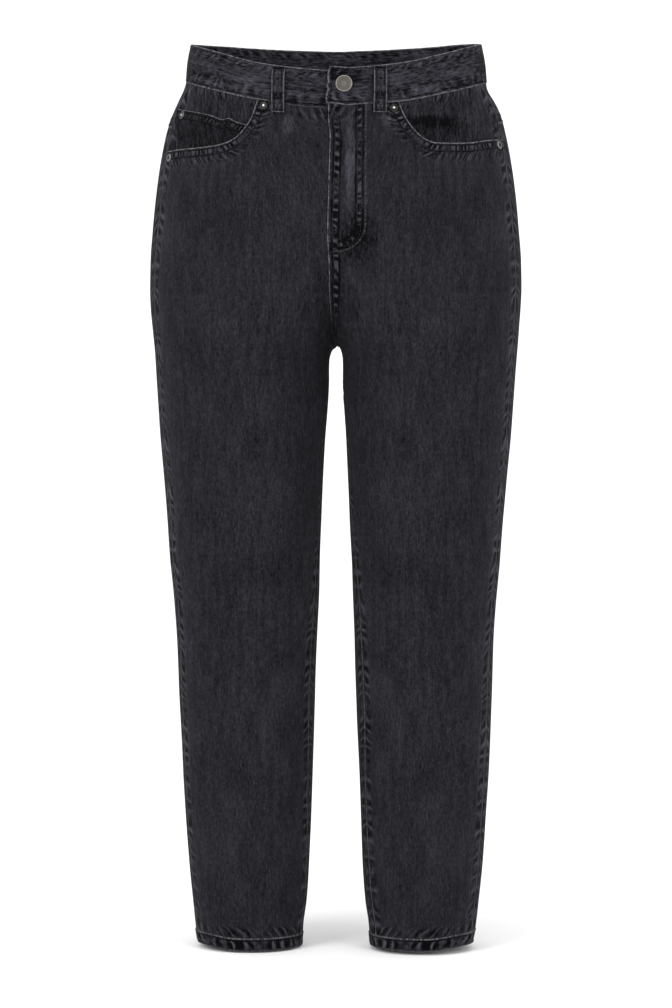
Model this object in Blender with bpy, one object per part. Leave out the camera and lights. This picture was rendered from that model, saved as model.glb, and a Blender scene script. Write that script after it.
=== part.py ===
"""High-waisted tapered jeans, filled out and hollow, with no wearer inside.

Metres, +Z up. The origin is the middle of the waist, where a wearer's waist holds the jeans.
+X is the wearer's left and -Y is the front. Every panel is a wall of denim between named seams.
"""

import math
from collections import namedtuple

import bmesh
import bpy
from mathutils import Vector
from mathutils.bvhtree import BVHTree

# Levels of the garment
CROTCH_Z = -0.294
HEM_Z = -0.9228
BAND_HEIGHT = 0.0386
LEVEL_ROWS_FROM_Z = -0.150

# Cloth
DENIM = 0.0012
SEAM_GAP = 0.0003
BAND_THICKNESS = 0.0028
BAND_OUT = 0.0008
HEM_FOLD = 0.014
HEM_STEP = 0.0008
HEM_THICKNESS = 0.0026
HEM_OUT = 0.0006

# The waistband's buttoned ends, and the fly under them
BAND_OVERLAP_DEG = 11.0
BAND_EASE_DEG = 24.0
BAND_LIFT = 0.0014
BAND_DROP = 0.0022
FLY_WIDTH = 0.038
FLY_EASE = 0.008
FLY_LIFT = 0.0010
FLY_BOTTOM_Z = -0.208
SHIELD_LEFT_X = 0.034
SHIELD_RIGHT_X = -0.008

# Pieces inside the front pockets
MOUTH_START_X = 0.074
FACING_INNER_X = 0.056
FACING_LOW_Z = -0.1240
FACING_SINK = 0.0026
COIN_THICKNESS = 0.0010
COIN_LOW_Z = -0.1090
COIN_OUTER_X = 0.1590
COIN_OUTER_Z = -0.0515
COIN_INNER_X = 0.0820
COIN_INNER_Z = -0.0750

# Back yoke and patch pockets
YOKE_SIDE_HEIGHT = 0.045
YOKE_BACK_HEIGHT = 0.072
PATCH_TOP_BELOW_YOKE = 0.016
PATCH_TOP_WIDTH = 0.138
PATCH_LOW_WIDTH = 0.122
PATCH_SIDE_HEIGHT = 0.130
PATCH_POINT_HEIGHT = 0.148
PATCH_MIDDLE_DEG = 58.0
PATCH_MIDDLE_X = 0.102

# Belt loops
LOOP_WIDTH = 0.0132
LOOP_THICKNESS = 0.0018
LOOP_STAND_OFF = 0.0018
LOOP_PAD = 0.006
LOOP_BELOW_SEAM = 0.0080

# Metal
BUTTON_RADIUS = 0.0087
BUTTON_HEIGHT = 0.0036
BUTTON_X = 0.0153
BUTTON_Z = -0.0350
RIVET_RADIUS = 0.0042
RIVET_HEIGHT = 0.0017
BUTTON_SEGMENTS = 24
RIVET_SEGMENTS = 16

LEFT, RIGHT = 1, -1
FRONT, BACK = -1, 1
SIDE_NAME = {LEFT: "left", RIGHT: "right"}
REACH = 0.012

# The body's outline: half widths to the outer and the inner side of one leg, depths to the front
# and the back. Where inner is below zero the leg's oval is cut off at the middle of the body.
Section = namedtuple("Section", "z outer inner front back square")
SECTIONS = (
    Section(0.0400, 0.1502, -0.1502, 0.0860, 0.0900, 2.15),
    Section(0.0200, 0.1523, -0.1523, 0.0880, 0.0920, 2.15),
    Section(0.0000, 0.1562, -0.1562, 0.0900, 0.0950, 2.15),
    Section(-0.0190, 0.1580, -0.1580, 0.0920, 0.0985, 2.15),
    Section(-0.0400, 0.1670, -0.1670, 0.0940, 0.1030, 2.15),
    Section(-0.0570, 0.1736, -0.1736, 0.0955, 0.1075, 2.15),
    Section(-0.0880, 0.1808, -0.1808, 0.0980, 0.1140, 2.20),
    Section(-0.1200, 0.1860, -0.1860, 0.1000, 0.1200, 2.20),
    Section(-0.1500, 0.1895, -0.1880, 0.1020, 0.1250, 2.20),
    Section(-0.1740, 0.1916, -0.1600, 0.1030, 0.1280, 2.20),
    Section(-0.2040, 0.1937, -0.1150, 0.1035, 0.1300, 2.20),
    Section(-0.2340, 0.1942, -0.0700, 0.1030, 0.1290, 2.20),
    Section(-0.2540, 0.1934, -0.0400, 0.1020, 0.1260, 2.20),
    Section(-0.2740, 0.1920, -0.0140, 0.1005, 0.1215, 2.18),
    Section(-0.2890, 0.1910, -0.0034, 0.0990, 0.1170, 2.16),
    Section(CROTCH_Z, 0.1906, 0.0000, 0.0985, 0.1155, 2.15),
    Section(-0.2990, 0.1902, 0.0034, 0.0980, 0.1140, 2.15),
    Section(-0.3090, 0.1895, 0.0060, 0.0970, 0.1112, 2.15),
    Section(-0.3300, 0.1880, 0.0075, 0.0950, 0.1052, 2.15),
    Section(-0.3507, 0.1864, 0.0085, 0.0930, 0.1000, 2.15),
    Section(-0.3927, 0.1832, 0.0115, 0.0900, 0.0920, 2.15),
    Section(-0.4347, 0.1792, 0.0136, 0.0860, 0.0865, 2.15),
    Section(-0.4767, 0.1756, 0.0152, 0.0815, 0.0815, 2.15),
    Section(-0.5187, 0.1724, 0.0172, 0.0765, 0.0765, 2.15),
    Section(-0.5607, 0.1683, 0.0184, 0.0720, 0.0730, 2.15),
    Section(-0.6027, 0.1654, 0.0200, 0.0690, 0.0715, 2.15),
    Section(-0.6657, 0.1627, 0.0220, 0.0655, 0.0705, 2.15),
    Section(-0.7287, 0.1600, 0.0242, 0.0625, 0.0680, 2.15),
    Section(-0.7707, 0.1575, 0.0257, 0.0600, 0.0645, 2.15),
    Section(-0.8337, 0.1533, 0.0284, 0.0560, 0.0590, 2.10),
    Section(-0.8757, 0.1494, 0.0312, 0.0530, 0.0545, 2.10),
    Section(-0.9000, 0.1471, 0.0345, 0.0505, 0.0520, 2.10),
    Section(HEM_Z, 0.1438, 0.0362, 0.0485, 0.0500, 2.10),
)

# How far forward of the leg's widest points the seams run, in degrees round the leg.
Seam = namedtuple("Seam", "z side_left side_right inseam_left inseam_right")
SEAMS = (
    Seam(0.0400, 14.0, 17.0, 0.0, 0.0),
    Seam(-0.2000, 16.0, 21.0, 0.0, 0.0),
    Seam(CROTCH_Z, 19.0, 25.0, 0.0, 0.0),
    Seam(-0.3500, 19.0, 24.0, 8.0, 3.0),
    Seam(-0.4700, 19.0, 26.0, 17.0, 6.0),
    Seam(-0.5800, 19.0, 25.0, 29.0, 16.0),
    Seam(-0.6600, 20.0, 23.0, 32.0, 20.0),
    Seam(-0.7700, 20.0, 22.0, 28.0, 15.0),
    Seam(-0.8500, 20.0, 21.0, 31.0, 12.0),
    Seam(HEM_Z, 20.0, 20.0, 33.0, 10.0),
)

# Upper edge of the waistband, by degrees round the waist from the front.
Rim = namedtuple("Rim", "degrees z")
RIM = (
    Rim(0.0, -0.0190),
    Rim(13.0, -0.0157),
    Rim(21.0, -0.0130),
    Rim(31.0, -0.0078),
    Rim(45.0, 0.0016),
    Rim(70.0, 0.0153),
    Rim(90.0, 0.0228),
    Rim(110.0, 0.0278),
    Rim(132.0, 0.0309),
    Rim(155.0, 0.0315),
    Rim(180.0, 0.0308),
)

# The scooped edge of each front pocket, by distance from the middle of the body.
Mouth = namedtuple("Mouth", "x left right")
MOUTH = (
    Mouth(MOUTH_START_X, -0.0510, -0.0510),
    Mouth(0.0805, -0.0683, -0.0680),
    Mouth(0.0880, -0.0806, -0.0778),
    Mouth(0.0980, -0.0889, -0.0868),
    Mouth(0.1080, -0.0920, -0.0913),
    Mouth(0.1210, -0.0922, -0.0937),
    Mouth(0.1400, -0.0910, -0.0944),
    Mouth(0.1600, -0.0872, -0.0938),
    Mouth(0.1800, -0.0825, -0.0932),
)

# The largest folds, as soft ridges and troughs: side of the body, front or back, middle, slope in
# degrees, half length, half width and height, which is negative for a trough.
Fold = namedtuple("Fold", "side face x z slope length width height")
FOLDS = (
    Fold(LEFT, FRONT, 0.070, -0.262, -28.0, 0.048, 0.0130, -0.0020),
    Fold(RIGHT, FRONT, 0.078, -0.268, 24.0, 0.044, 0.0130, -0.0020),
    Fold(LEFT, FRONT, 0.110, -0.556, 6.0, 0.046, 0.0170, -0.0020),
    Fold(RIGHT, FRONT, 0.130, -0.548, -24.0, 0.036, 0.0160, -0.0022),
    Fold(RIGHT, FRONT, 0.085, -0.606, -5.0, 0.048, 0.0170, -0.0018),
    Fold(LEFT, BACK, 0.070, -0.290, 22.0, 0.052, 0.0130, -0.0034),
    Fold(RIGHT, BACK, 0.074, -0.296, 20.0, 0.050, 0.0130, -0.0034),
    Fold(LEFT, BACK, 0.095, -0.332, 15.0, 0.054, 0.0130, -0.0028),
    Fold(RIGHT, BACK, 0.092, -0.338, 17.0, 0.052, 0.0130, -0.0030),
    Fold(LEFT, BACK, 0.096, -0.560, -9.0, 0.050, 0.0150, -0.0034),
    Fold(RIGHT, BACK, 0.090, -0.566, 8.0, 0.048, 0.0150, -0.0034),
    Fold(LEFT, BACK, 0.088, -0.604, 10.0, 0.046, 0.0150, -0.0028),
    Fold(RIGHT, BACK, 0.100, -0.612, -10.0, 0.044, 0.0150, -0.0028),
)

# Belt loops, by distance from the middle of the body.
Loop = namedtuple("Loop", "name side face x")
LOOPS = (
    Loop("belt_loop_front_left", LEFT, FRONT, 0.0515),
    Loop("belt_loop_front_right", RIGHT, FRONT, 0.0515),
    Loop("belt_loop_back_left", LEFT, BACK, 0.0880),
    Loop("belt_loop_back_right", RIGHT, BACK, 0.0880),
    Loop("belt_loop_back_middle", LEFT, BACK, 0.0),
)

# Where rivets stand, by distance from the middle of the body, and the piece under each.
Rivet = namedtuple("Rivet", "name side x z on")
RIVETS = (
    Rivet("rivet_top_left", LEFT, 0.0655, -0.0575, "front_left"),
    Rivet("rivet_top_right", RIGHT, 0.0665, -0.0568, "front_right"),
    Rivet("rivet_side_left", LEFT, 0.1712, -0.0905, "front_left"),
    Rivet("rivet_side_right", RIGHT, 0.1690, -0.1010, "front_right"),
    Rivet("rivet_coin", RIGHT, 0.1560, -0.0572, "coin_pocket"),
)

# Columns of a front panel at the waist, by distance from the middle of the body: close together
# at the fly's stitching and where the pocket mouth turns. The last column is the side seam.
FRONT_STOPS = (
    0.0, 0.019, 0.037, 0.046, 0.060, MOUTH_START_X, 0.0775, 0.0815, 0.0865, 0.0925, 0.1000, 0.1100,
    0.1250, 0.1430,
)  # fmt: skip
FRONT_COLUMNS = len(FRONT_STOPS)
BACK_COLUMNS = 14
TOP_ROWS = 4
LEVELS = (
    -0.176, -0.202, -0.224, -0.242, -0.257, -0.270, -0.281, -0.289, -0.2928, CROTCH_Z, -0.2955,
    -0.3000, -0.3120, -0.3280, -0.3480, -0.3800, -0.4250, -0.4700, -0.5100, -0.5350, -0.5550,
    -0.5750, -0.5950, -0.6200, -0.6600, -0.7200, -0.7800, -0.8400, -0.8800, HEM_Z + HEM_FOLD,
    HEM_Z + HEM_FOLD - HEM_STEP, HEM_Z,
)  # fmt: skip
LEG_ROWS = TOP_ROWS + len(LEVELS)

Finish = namedtuple("Finish", "colour roughness metallic")
DENIM_FINISH = Finish((0.028, 0.028, 0.034), 0.92, 0.0)
METAL_FINISH = Finish((0.36, 0.34, 0.32), 0.38, 1.0)

walls = {}


def smoothstep(value, low=0.0, high=1.0):
    """0 below low, 1 above high, and a smooth rise between them."""
    share = min(1.0, max(0.0, (value - low) / (high - low)))
    return share * share * (3 - 2 * share)


def slopes_of(rows, column):
    """Slopes for a curve through the rows that never overshoots them."""
    rises = [(getattr(b, column) - getattr(a, column)) / (b[0] - a[0]) for a, b in zip(rows, rows[1:])]
    slopes = [rises[0]]
    for before, after in zip(rises, rises[1:]):
        same_way = before * after > 0
        slopes.append(2 * before * after / (before + after) if same_way else 0.0)
    return slopes + [rises[-1]]


def curve_through(table):
    """A function of a column's name and a key, smooth through the table's rows."""
    rows = sorted(table)
    slopes = {column: slopes_of(rows, column) for column in rows[0]._fields[1:]}

    def value(column, key):
        key = min(rows[-1][0], max(rows[0][0], key))
        at = next(i for i in range(len(rows) - 1) if key <= rows[i + 1][0])
        span = rows[at + 1][0] - rows[at][0]
        share = (key - rows[at][0]) / span
        rest = 1 - share
        start, end = getattr(rows[at], column), getattr(rows[at + 1], column)
        start_slope, end_slope = slopes[column][at] * span, slopes[column][at + 1] * span
        from_start = rest * rest * (start * (1 + 2 * share) + start_slope * share)
        return from_start + share * share * (end * (1 + 2 * rest) - end_slope * rest)

    return value


outline = curve_through(SECTIONS)
seam_angle = curve_through(SEAMS)
rim = curve_through(RIM)
mouth = curve_through(MOUTH)


def signed_power(value, power):
    return math.copysign(abs(value) ** power, value)


def oval_point(side, z, degrees):
    """A point of the plain body. 0 degrees is the outer side, -90 the front and 90 the back."""
    outer, inner = outline("outer", z), outline("inner", z)
    power = 2 / outline("square", z)
    turn = math.radians(degrees)
    depth = outline("front" if math.sin(turn) < 0 else "back", z)
    x = (outer + inner) / 2 + (outer - inner) / 2 * signed_power(math.cos(turn), power)
    return Vector((side * x, depth * signed_power(math.sin(turn), power), z))


def oval_normal(side, z, degrees):
    """Outward normal of the plain body."""
    step_z, step_degrees = 0.001, 0.5
    down = oval_point(side, z - step_z, degrees) - oval_point(side, z + step_z, degrees)
    ahead = oval_point(side, z, degrees + step_degrees)
    round_leg = ahead - oval_point(side, z, degrees - step_degrees)
    return (down.cross(round_leg) * side).normalized()


def arc_per_degree(side, z, degrees):
    """Distance moved round the body for one degree of the oval's angle."""
    return (oval_point(side, z, degrees + 1) - oval_point(side, z, degrees - 1)).length / 2


def degrees_at_x(z, x, face):
    """The oval's angle, on the front or the back, where the body is x from its middle."""
    middle = (outline("outer", z) + outline("inner", z)) / 2
    half = (outline("outer", z) - outline("inner", z)) / 2
    cosine = signed_power((x - middle) / half, outline("square", z) / 2)
    return face * math.degrees(math.acos(max(-1.0, min(1.0, cosine))))


def fold_height(side, point):
    """How far the folds lift the cloth at a point of the plain body."""
    total = 0.0
    for fold in FOLDS:
        if fold.side != side or fold.face * point.y < 0:
            continue
        across_x = abs(point.x) - fold.x
        across_z = point.z - fold.z
        slope = math.radians(fold.slope)
        along = across_x * math.cos(slope) + across_z * math.sin(slope)
        across = across_z * math.cos(slope) - across_x * math.sin(slope)
        total += fold.height * math.exp(-((along / fold.length) ** 2) - (across / fold.width) ** 2)
    return total * smoothstep(abs(point.y), 0.01, 0.04)


def fly_height(side, point):
    """How far the doubled fly lifts the left front."""
    if side != LEFT or point.y > 0:
        return 0.0
    across = 1 - smoothstep(point.x, FLY_WIDTH, FLY_WIDTH + FLY_EASE)
    down = smoothstep(point.z, FLY_BOTTOM_Z - FLY_EASE, FLY_BOTTOM_Z + FLY_EASE)
    return FLY_LIFT * across * down


def body_at(side, z, degrees):
    """A point of the plain body, its normal, and how far folds and fly lift the cloth there."""
    point = oval_point(side, z, degrees)
    return point, oval_normal(side, z, degrees), fold_height(side, point) + fly_height(side, point)


def wall_points(side, z, degrees, out, thickness):
    """Outer and inner points of a wall whose outer face stands out from the folded body."""
    point, normal, lift = body_at(side, z, degrees)
    return point + normal * (lift + out), point + normal * (lift + out - thickness)


def top_of(names, side, z, degrees):
    """How far out from the folded body the highest of the named walls reaches, or None."""
    point, normal, lift = body_at(side, z, degrees)
    found = [walls[name].ray_cast(point + normal * REACH, -normal, 2 * REACH)[3] for name in names]
    heights = [REACH - distance - lift for distance in found if distance is not None]
    return max(heights) if heights else None


def under_of(name, side, z, degrees):
    """How far out from the folded body the named wall's inner face lies, or None."""
    point, normal, lift = body_at(side, z, degrees)
    distance = walls[name].ray_cast(point - normal * REACH, normal, 2 * REACH)[3]
    return None if distance is None else distance - REACH - lift


def middle_degrees(z, gap):
    """How far round the oval reaches before it is cut off at the middle of the body, or None."""
    return degrees_at_x(z, gap, BACK) if outline("inner", z) < gap else None


def side_degrees(side, z, away=0.0):
    """The side seam, or a line a short distance in front of it."""
    turn = -seam_angle("side_" + SIDE_NAME[side], z)
    return turn - away / arc_per_degree(side, z, turn)


def inner_degrees(side, z, face):
    """Where a front or back panel ends: the rise seam, and the inseam under the crotch."""
    gap = SEAM_GAP / 2
    cut = middle_degrees(z, gap)
    if cut is not None:
        return face * cut
    turn = 180 + face * seam_angle("inseam_" + SIDE_NAME[side], z)
    return face * (turn - gap / arc_per_degree(side, z, face * turn))


def rim_z(degrees):
    """Height of the waistband's upper edge: lowest at the front, highest at the back."""
    return rim("z", abs((degrees + 270) % 360 - 180))


def waist_seam_z(degrees):
    return rim_z(degrees) - BAND_HEIGHT


def yoke_z(degrees):
    share = smoothstep(degrees, -15, 90)
    return waist_seam_z(degrees) - YOKE_SIDE_HEIGHT - (YOKE_BACK_HEIGHT - YOKE_SIDE_HEIGHT) * share


def front_top_z(side, degrees):
    """Top of a front panel: the waist seam, then the scooped pocket mouth."""
    top = waist_seam_z(degrees) - SEAM_GAP
    z = top
    for _ in range(10):
        x = abs(oval_point(side, z, degrees).x)
        z = min(top, mouth(SIDE_NAME[side], x)) if x > MOUTH_START_X + 1e-6 else top
    return z


def front_turn(stop_x):
    """The oval's angle of a front column at the waist seam."""
    turn = -90.0
    for _ in range(6):
        turn = degrees_at_x(waist_seam_z(turn) - SEAM_GAP, stop_x, FRONT)
    return turn


def row_z(row, top_z):
    """Height of a row: spread from the curved top edge, then level down to the hem."""
    if row <= TOP_ROWS:
        return top_z + (LEVEL_ROWS_FROM_Z - top_z) * row / TOP_ROWS
    return LEVELS[row - TOP_ROWS - 1]


def leg_points(side, z, degrees):
    """Outer and inner points of a leg panel, thicker in the turned-up hem."""
    if z < HEM_Z + HEM_FOLD - HEM_STEP / 2:
        return wall_points(side, z, degrees, HEM_OUT, HEM_THICKNESS)
    return wall_points(side, z, degrees, 0.0, DENIM)


def material(name, finish):
    made = bpy.data.materials.new(name)
    made.use_nodes = True
    shader = made.node_tree.nodes["Principled BSDF"]
    shader.inputs["Base Color"].default_value = (*finish.colour, 1)
    shader.inputs["Roughness"].default_value = finish.roughness
    shader.inputs["Metallic"].default_value = finish.metallic
    return made


def add_object(name, form, finish, collection):
    """Turns a bmesh into a named object, and keeps its faces so that pieces can rest on them."""
    walls[name] = BVHTree.FromBMesh(form)
    mesh = bpy.data.meshes.new(name)
    form.to_mesh(mesh)
    form.free()
    mesh.materials.append(material(name, finish))
    mesh.shade_smooth()
    made = bpy.data.objects.new(name, mesh)
    collection.objects.link(made)
    return made


def cloth(name, columns, rows, place, collection, turned=False):
    """A wall of cloth. place gives the outer and the inner point of a column and a row."""
    wall = bmesh.new()
    bmesh.ops.create_grid(wall, x_segments=columns, y_segments=rows, size=0.5)
    inner = {}
    for vert in list(wall.verts):
        column, row = round((vert.co.x + 0.5) * columns), round((0.5 - vert.co.y) * rows)
        vert.co, inside = place(column, row)
        inner[vert] = wall.verts.new(inside)
    if turned:
        bmesh.ops.reverse_faces(wall, faces=wall.faces)
    outer_faces = list(wall.faces)
    loops = [loop for face in outer_faces for loop in face.loops if loop.edge.is_boundary]
    rims = [(loop.vert, loop.link_loop_next.vert) for loop in loops]
    for face in outer_faces:
        wall.faces.new([inner[vert] for vert in reversed(face.verts)])
    for start, end in rims:
        wall.faces.new([end, start, inner[start], inner[end]])
    wall.normal_update()
    return add_object(name, wall, DENIM_FINISH, collection)


def add_front(side, collection):
    seam = side_degrees(side, waist_seam_z(-15), SEAM_GAP / 2)
    turns = [front_turn(stop) for stop in FRONT_STOPS] + [seam]
    shares = [(turn - turns[0]) / (seam - turns[0]) for turn in turns]

    def place(column, row):
        z = row_z(row, front_top_z(side, turns[column]))
        relaxed = smoothstep(-z, 0.16, 0.36)
        share = shares[column] + (column / FRONT_COLUMNS - shares[column]) * relaxed
        start, end = inner_degrees(side, z, FRONT), side_degrees(side, z, SEAM_GAP / 2)
        return leg_points(side, z, start + (end - start) * share)

    cloth("front_" + SIDE_NAME[side], FRONT_COLUMNS, LEG_ROWS, place, collection, side < 0)


def add_back(side, collection):
    def place(column, row):
        share = column / BACK_COLUMNS
        turn = side_degrees(side, -0.06) * (1 - share) + 90 * share
        z = row_z(row, yoke_z(turn) - SEAM_GAP)
        start, end = side_degrees(side, z, -SEAM_GAP / 2), inner_degrees(side, z, BACK)
        return leg_points(side, z, start + (end - start) * share)

    cloth("back_" + SIDE_NAME[side], BACK_COLUMNS, LEG_ROWS, place, collection, side < 0)


def add_yoke(side, collection, rows=4):
    def place(column, row):
        share = column / BACK_COLUMNS
        turn = side_degrees(side, -0.06) * (1 - share) + 90 * share
        top, low = waist_seam_z(turn) - SEAM_GAP, yoke_z(turn)
        z = top + (low - top) * row / rows
        start, end = side_degrees(side, z, -SEAM_GAP / 2), inner_degrees(side, z, BACK)
        return wall_points(side, z, start + (end - start) * share, 0.0, DENIM)

    cloth("yoke_" + SIDE_NAME[side], BACK_COLUMNS, rows, place, collection, side < 0)


def facing_out(side, z, degrees):
    """Where the facing's outer face lies: flush at its seams and sunk inside the pocket mouth."""
    above_mouth = z - front_top_z(side, degrees)
    flush = smoothstep(above_mouth, 0.012, 0.026)
    from_side = smoothstep(side_degrees(side, z) - degrees, 0.5, 8)
    from_waist = smoothstep(waist_seam_z(degrees) - z, 0.002, 0.022)
    return -(DENIM + 2 * SEAM_GAP) * (1 - flush) - FACING_SINK * from_side * from_waist


def add_facing(side, collection, columns=12, rows=9):
    """The denim piece inside the pocket mouth, which runs in behind the front panel."""
    front = "front_" + SIDE_NAME[side]

    def place(column, row):
        top = waist_seam_z(-60)
        for _ in range(5):
            z = top + (FACING_LOW_Z - top) * row / rows
            start, end = degrees_at_x(z, FACING_INNER_X, FRONT), side_degrees(side, z, SEAM_GAP / 2)
            turn = start + (end - start) * column / columns
            top = waist_seam_z(turn) - SEAM_GAP
        out = facing_out(side, z, turn)
        under = under_of(front, side, z, turn)
        if under is not None:
            out = min(out, under - SEAM_GAP)
        return wall_points(side, z, turn, out, DENIM)

    cloth("pocket_facing_" + SIDE_NAME[side], columns, rows, place, collection, side < 0)


def add_coin_pocket(collection, columns=11, rows=7):
    """The small pocket on the right facing, which runs in under the front panel."""

    def place(column, row):
        share = column / columns
        x = COIN_OUTER_X + (COIN_INNER_X - COIN_OUTER_X) * share
        top = COIN_OUTER_Z + (COIN_INNER_Z - COIN_OUTER_Z) * share
        z = top + (COIN_LOW_Z - top) * row / rows
        turn = degrees_at_x(z, x, FRONT)
        on = top_of(["pocket_facing_right"], RIGHT, z, turn)
        rest = (facing_out(RIGHT, z, turn) if on is None else on) + 1.5 * SEAM_GAP
        return wall_points(RIGHT, z, turn, rest + COIN_THICKNESS, COIN_THICKNESS)

    cloth("coin_pocket", columns, rows, place, collection)


def add_patch_pocket(side, collection, columns=14, rows=10):
    under = ["back_" + SIDE_NAME[side]]
    top_z = yoke_z(PATCH_MIDDLE_DEG) - PATCH_TOP_BELOW_YOKE

    def place(column, row):
        across, down = column / columns - 0.5, row / rows
        height = PATCH_POINT_HEIGHT + (PATCH_SIDE_HEIGHT - PATCH_POINT_HEIGHT) * abs(across) * 2
        z = top_z - height * down
        width = PATCH_TOP_WIDTH + (PATCH_LOW_WIDTH - PATCH_TOP_WIDTH) * down
        middle = degrees_at_x(z, PATCH_MIDDLE_X, BACK)
        turn = middle + across * width / arc_per_degree(side, z, middle)
        out = max(0.0, top_of(under, side, z, turn) or 0.0) + SEAM_GAP
        return wall_points(side, z, turn, out + DENIM, DENIM)

    cloth("back_pocket_" + SIDE_NAME[side], columns, rows, place, collection, side < 0)


def add_fly_shield(collection, columns=5, rows=9):
    """The strip behind the fly that closes it from the inside."""

    def place(column, row):
        x = SHIELD_RIGHT_X + (SHIELD_LEFT_X - SHIELD_RIGHT_X) * column / columns
        side = LEFT if x > 0 else RIGHT
        top = waist_seam_z(-90) - 2 * SEAM_GAP
        z = top + (FLY_BOTTOM_Z - top) * row / rows
        turn = degrees_at_x(z, abs(x), FRONT)
        point, normal = oval_point(side, z, turn), oval_normal(side, z, turn)
        outer = point - normal * (DENIM + 2 * SEAM_GAP)
        return outer, outer - normal * DENIM

    cloth("fly_shield", columns, rows, place, collection)


def band_out(degrees):
    """How far the waistband stands out: its left end lies over its right end at the button."""
    over = BAND_LIFT * (1 - smoothstep(degrees, BAND_OVERLAP_DEG, BAND_OVERLAP_DEG + BAND_EASE_DEG))
    under = BAND_DROP * smoothstep(degrees, 360 - BAND_EASE_DEG, 360 - BAND_OVERLAP_DEG / 4)
    return BAND_OUT + over - under


def add_waistband(collection, columns=64, rows=2):
    """One strip all round the waist, from the middle of the front over the left side."""

    def place(column, row):
        degrees = (360 + BAND_OVERLAP_DEG) * column / columns
        turn = degrees - 90
        z = rim_z(turn) - BAND_HEIGHT * row / rows
        point, normal = oval_point(LEFT, z, turn), oval_normal(LEFT, z, turn)
        out = band_out(degrees)
        return point + normal * out, point + normal * (out - BAND_THICKNESS)

    cloth("waistband", columns, rows, place, collection)


def add_belt_loop(loop, collection, columns=2, rows=9):
    """A strip sewn down at both ends, which stands clear of the waistband between them."""
    length = BAND_HEIGHT + LOOP_BELOW_SEAM
    panel = "front_" if loop.face == FRONT else "yoke_"
    under = ["waistband", panel + "left", panel + "right"]
    top = rim_z(degrees_at_x(rim_z(loop.face * 90), loop.x, loop.face))

    def place(column, row):
        down = length * row / rows
        z = top - down
        turn = degrees_at_x(z, loop.x, loop.face)
        turn += LOOP_WIDTH * (column / columns - 0.5) / arc_per_degree(loop.side, z, turn)
        around = turn + 90 if loop.side == LEFT else 270 - turn
        pad = min(down, length - down)
        clear = LOOP_STAND_OFF * smoothstep(pad, LOOP_PAD * 0.6, LOOP_PAD * 1.9)
        level = band_out(around) if down < BAND_HEIGHT + 0.0025 else 0.0
        out = max(level, top_of(under, loop.side, z, turn) or 0.0) + clear + 1.5 * SEAM_GAP
        return wall_points(loop.side, z, turn, out + LOOP_THICKNESS, LOOP_THICKNESS)

    cloth(loop.name, columns, rows, place, collection, loop.side < 0)


def turned_solid(name, profile, segments, place, collection):
    """A solid turned about +Z from a profile of radius and height, run from its top down."""
    turned = bmesh.new()
    verts = [turned.verts.new((radius, 0, height)) for radius, height in profile]
    edges = [turned.edges.new((start, end)) for start, end in zip(verts, verts[1:])]
    bmesh.ops.spin(
        turned,
        geom=verts + edges,
        cent=(0, 0, 0),
        axis=(0, 0, 1),
        angle=math.tau,
        steps=segments,
        use_merge=True,
    )
    bmesh.ops.remove_doubles(turned, verts=turned.verts, dist=0.00001)
    bmesh.ops.recalc_face_normals(turned, faces=turned.faces)
    for vert in turned.verts:
        vert.co = place(vert.co)
    return add_object(name, turned, METAL_FINISH, collection)


def seat(side, z, degrees, out):
    """A function that moves a point from a turned piece's own axes onto the cloth."""
    normal = oval_normal(side, z, degrees)
    turn = normal.to_track_quat("Z", "Y")
    middle = oval_point(side, z, degrees) + normal * out
    return lambda point: middle + turn @ point


def add_button(collection):
    radius, height = BUTTON_RADIUS, BUTTON_HEIGHT
    profile = [
        (0, height * 0.80),
        (radius * 0.80, height * 0.80),
        (radius * 0.86, height),
        (radius * 0.95, height * 0.94),
        (radius, height * 0.72),
        (radius * 0.96, height * 0.45),
        (radius * 0.60, height * 0.30),
        (radius * 0.34, height * 0.26),
        (radius * 0.34, 0),
        (0, 0),
    ]
    turn = degrees_at_x(BUTTON_Z, BUTTON_X, FRONT)
    place = seat(LEFT, BUTTON_Z, turn, BAND_OUT + BAND_LIFT + SEAM_GAP)
    turned_solid("button", profile, BUTTON_SEGMENTS, place, collection)


def level_under(rivet, turn):
    """Height of the piece under a rivet, so that the rivet's flat back clears it all over."""
    point, normal = oval_point(rivet.side, rivet.z, turn), oval_normal(rivet.side, rivet.z, turn)
    across = normal.to_track_quat("Z", "Y")
    levels = []
    for step in range(RIVET_SEGMENTS):
        angle = math.tau * step / RIVET_SEGMENTS
        for radius in (0.0, RIVET_RADIUS * 0.5, RIVET_RADIUS):
            start = Vector((radius * math.cos(angle), radius * math.sin(angle), REACH))
            hit = walls[rivet.on].ray_cast(point + across @ start, -normal, 2 * REACH)
            if hit[3] is not None:
                levels.append(REACH - hit[3])
    return max(levels)


def add_rivet(rivet, collection):
    radius, height = RIVET_RADIUS, RIVET_HEIGHT
    profile = [
        (0, height),
        (radius * 0.22, height * 0.96),
        (radius * 0.36, height * 0.62),
        (radius * 0.70, height * 0.58),
        (radius * 0.92, height * 0.42),
        (radius, 0),
        (0, 0),
    ]
    turn = degrees_at_x(rivet.z, rivet.x, FRONT)
    place = seat(rivet.side, rivet.z, turn, level_under(rivet, turn) + SEAM_GAP)
    turned_solid(rivet.name, profile, RIVET_SEGMENTS, place, collection)


def clear_scene():
    for obj in list(bpy.data.objects):
        bpy.data.objects.remove(obj, do_unlink=True)


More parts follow.
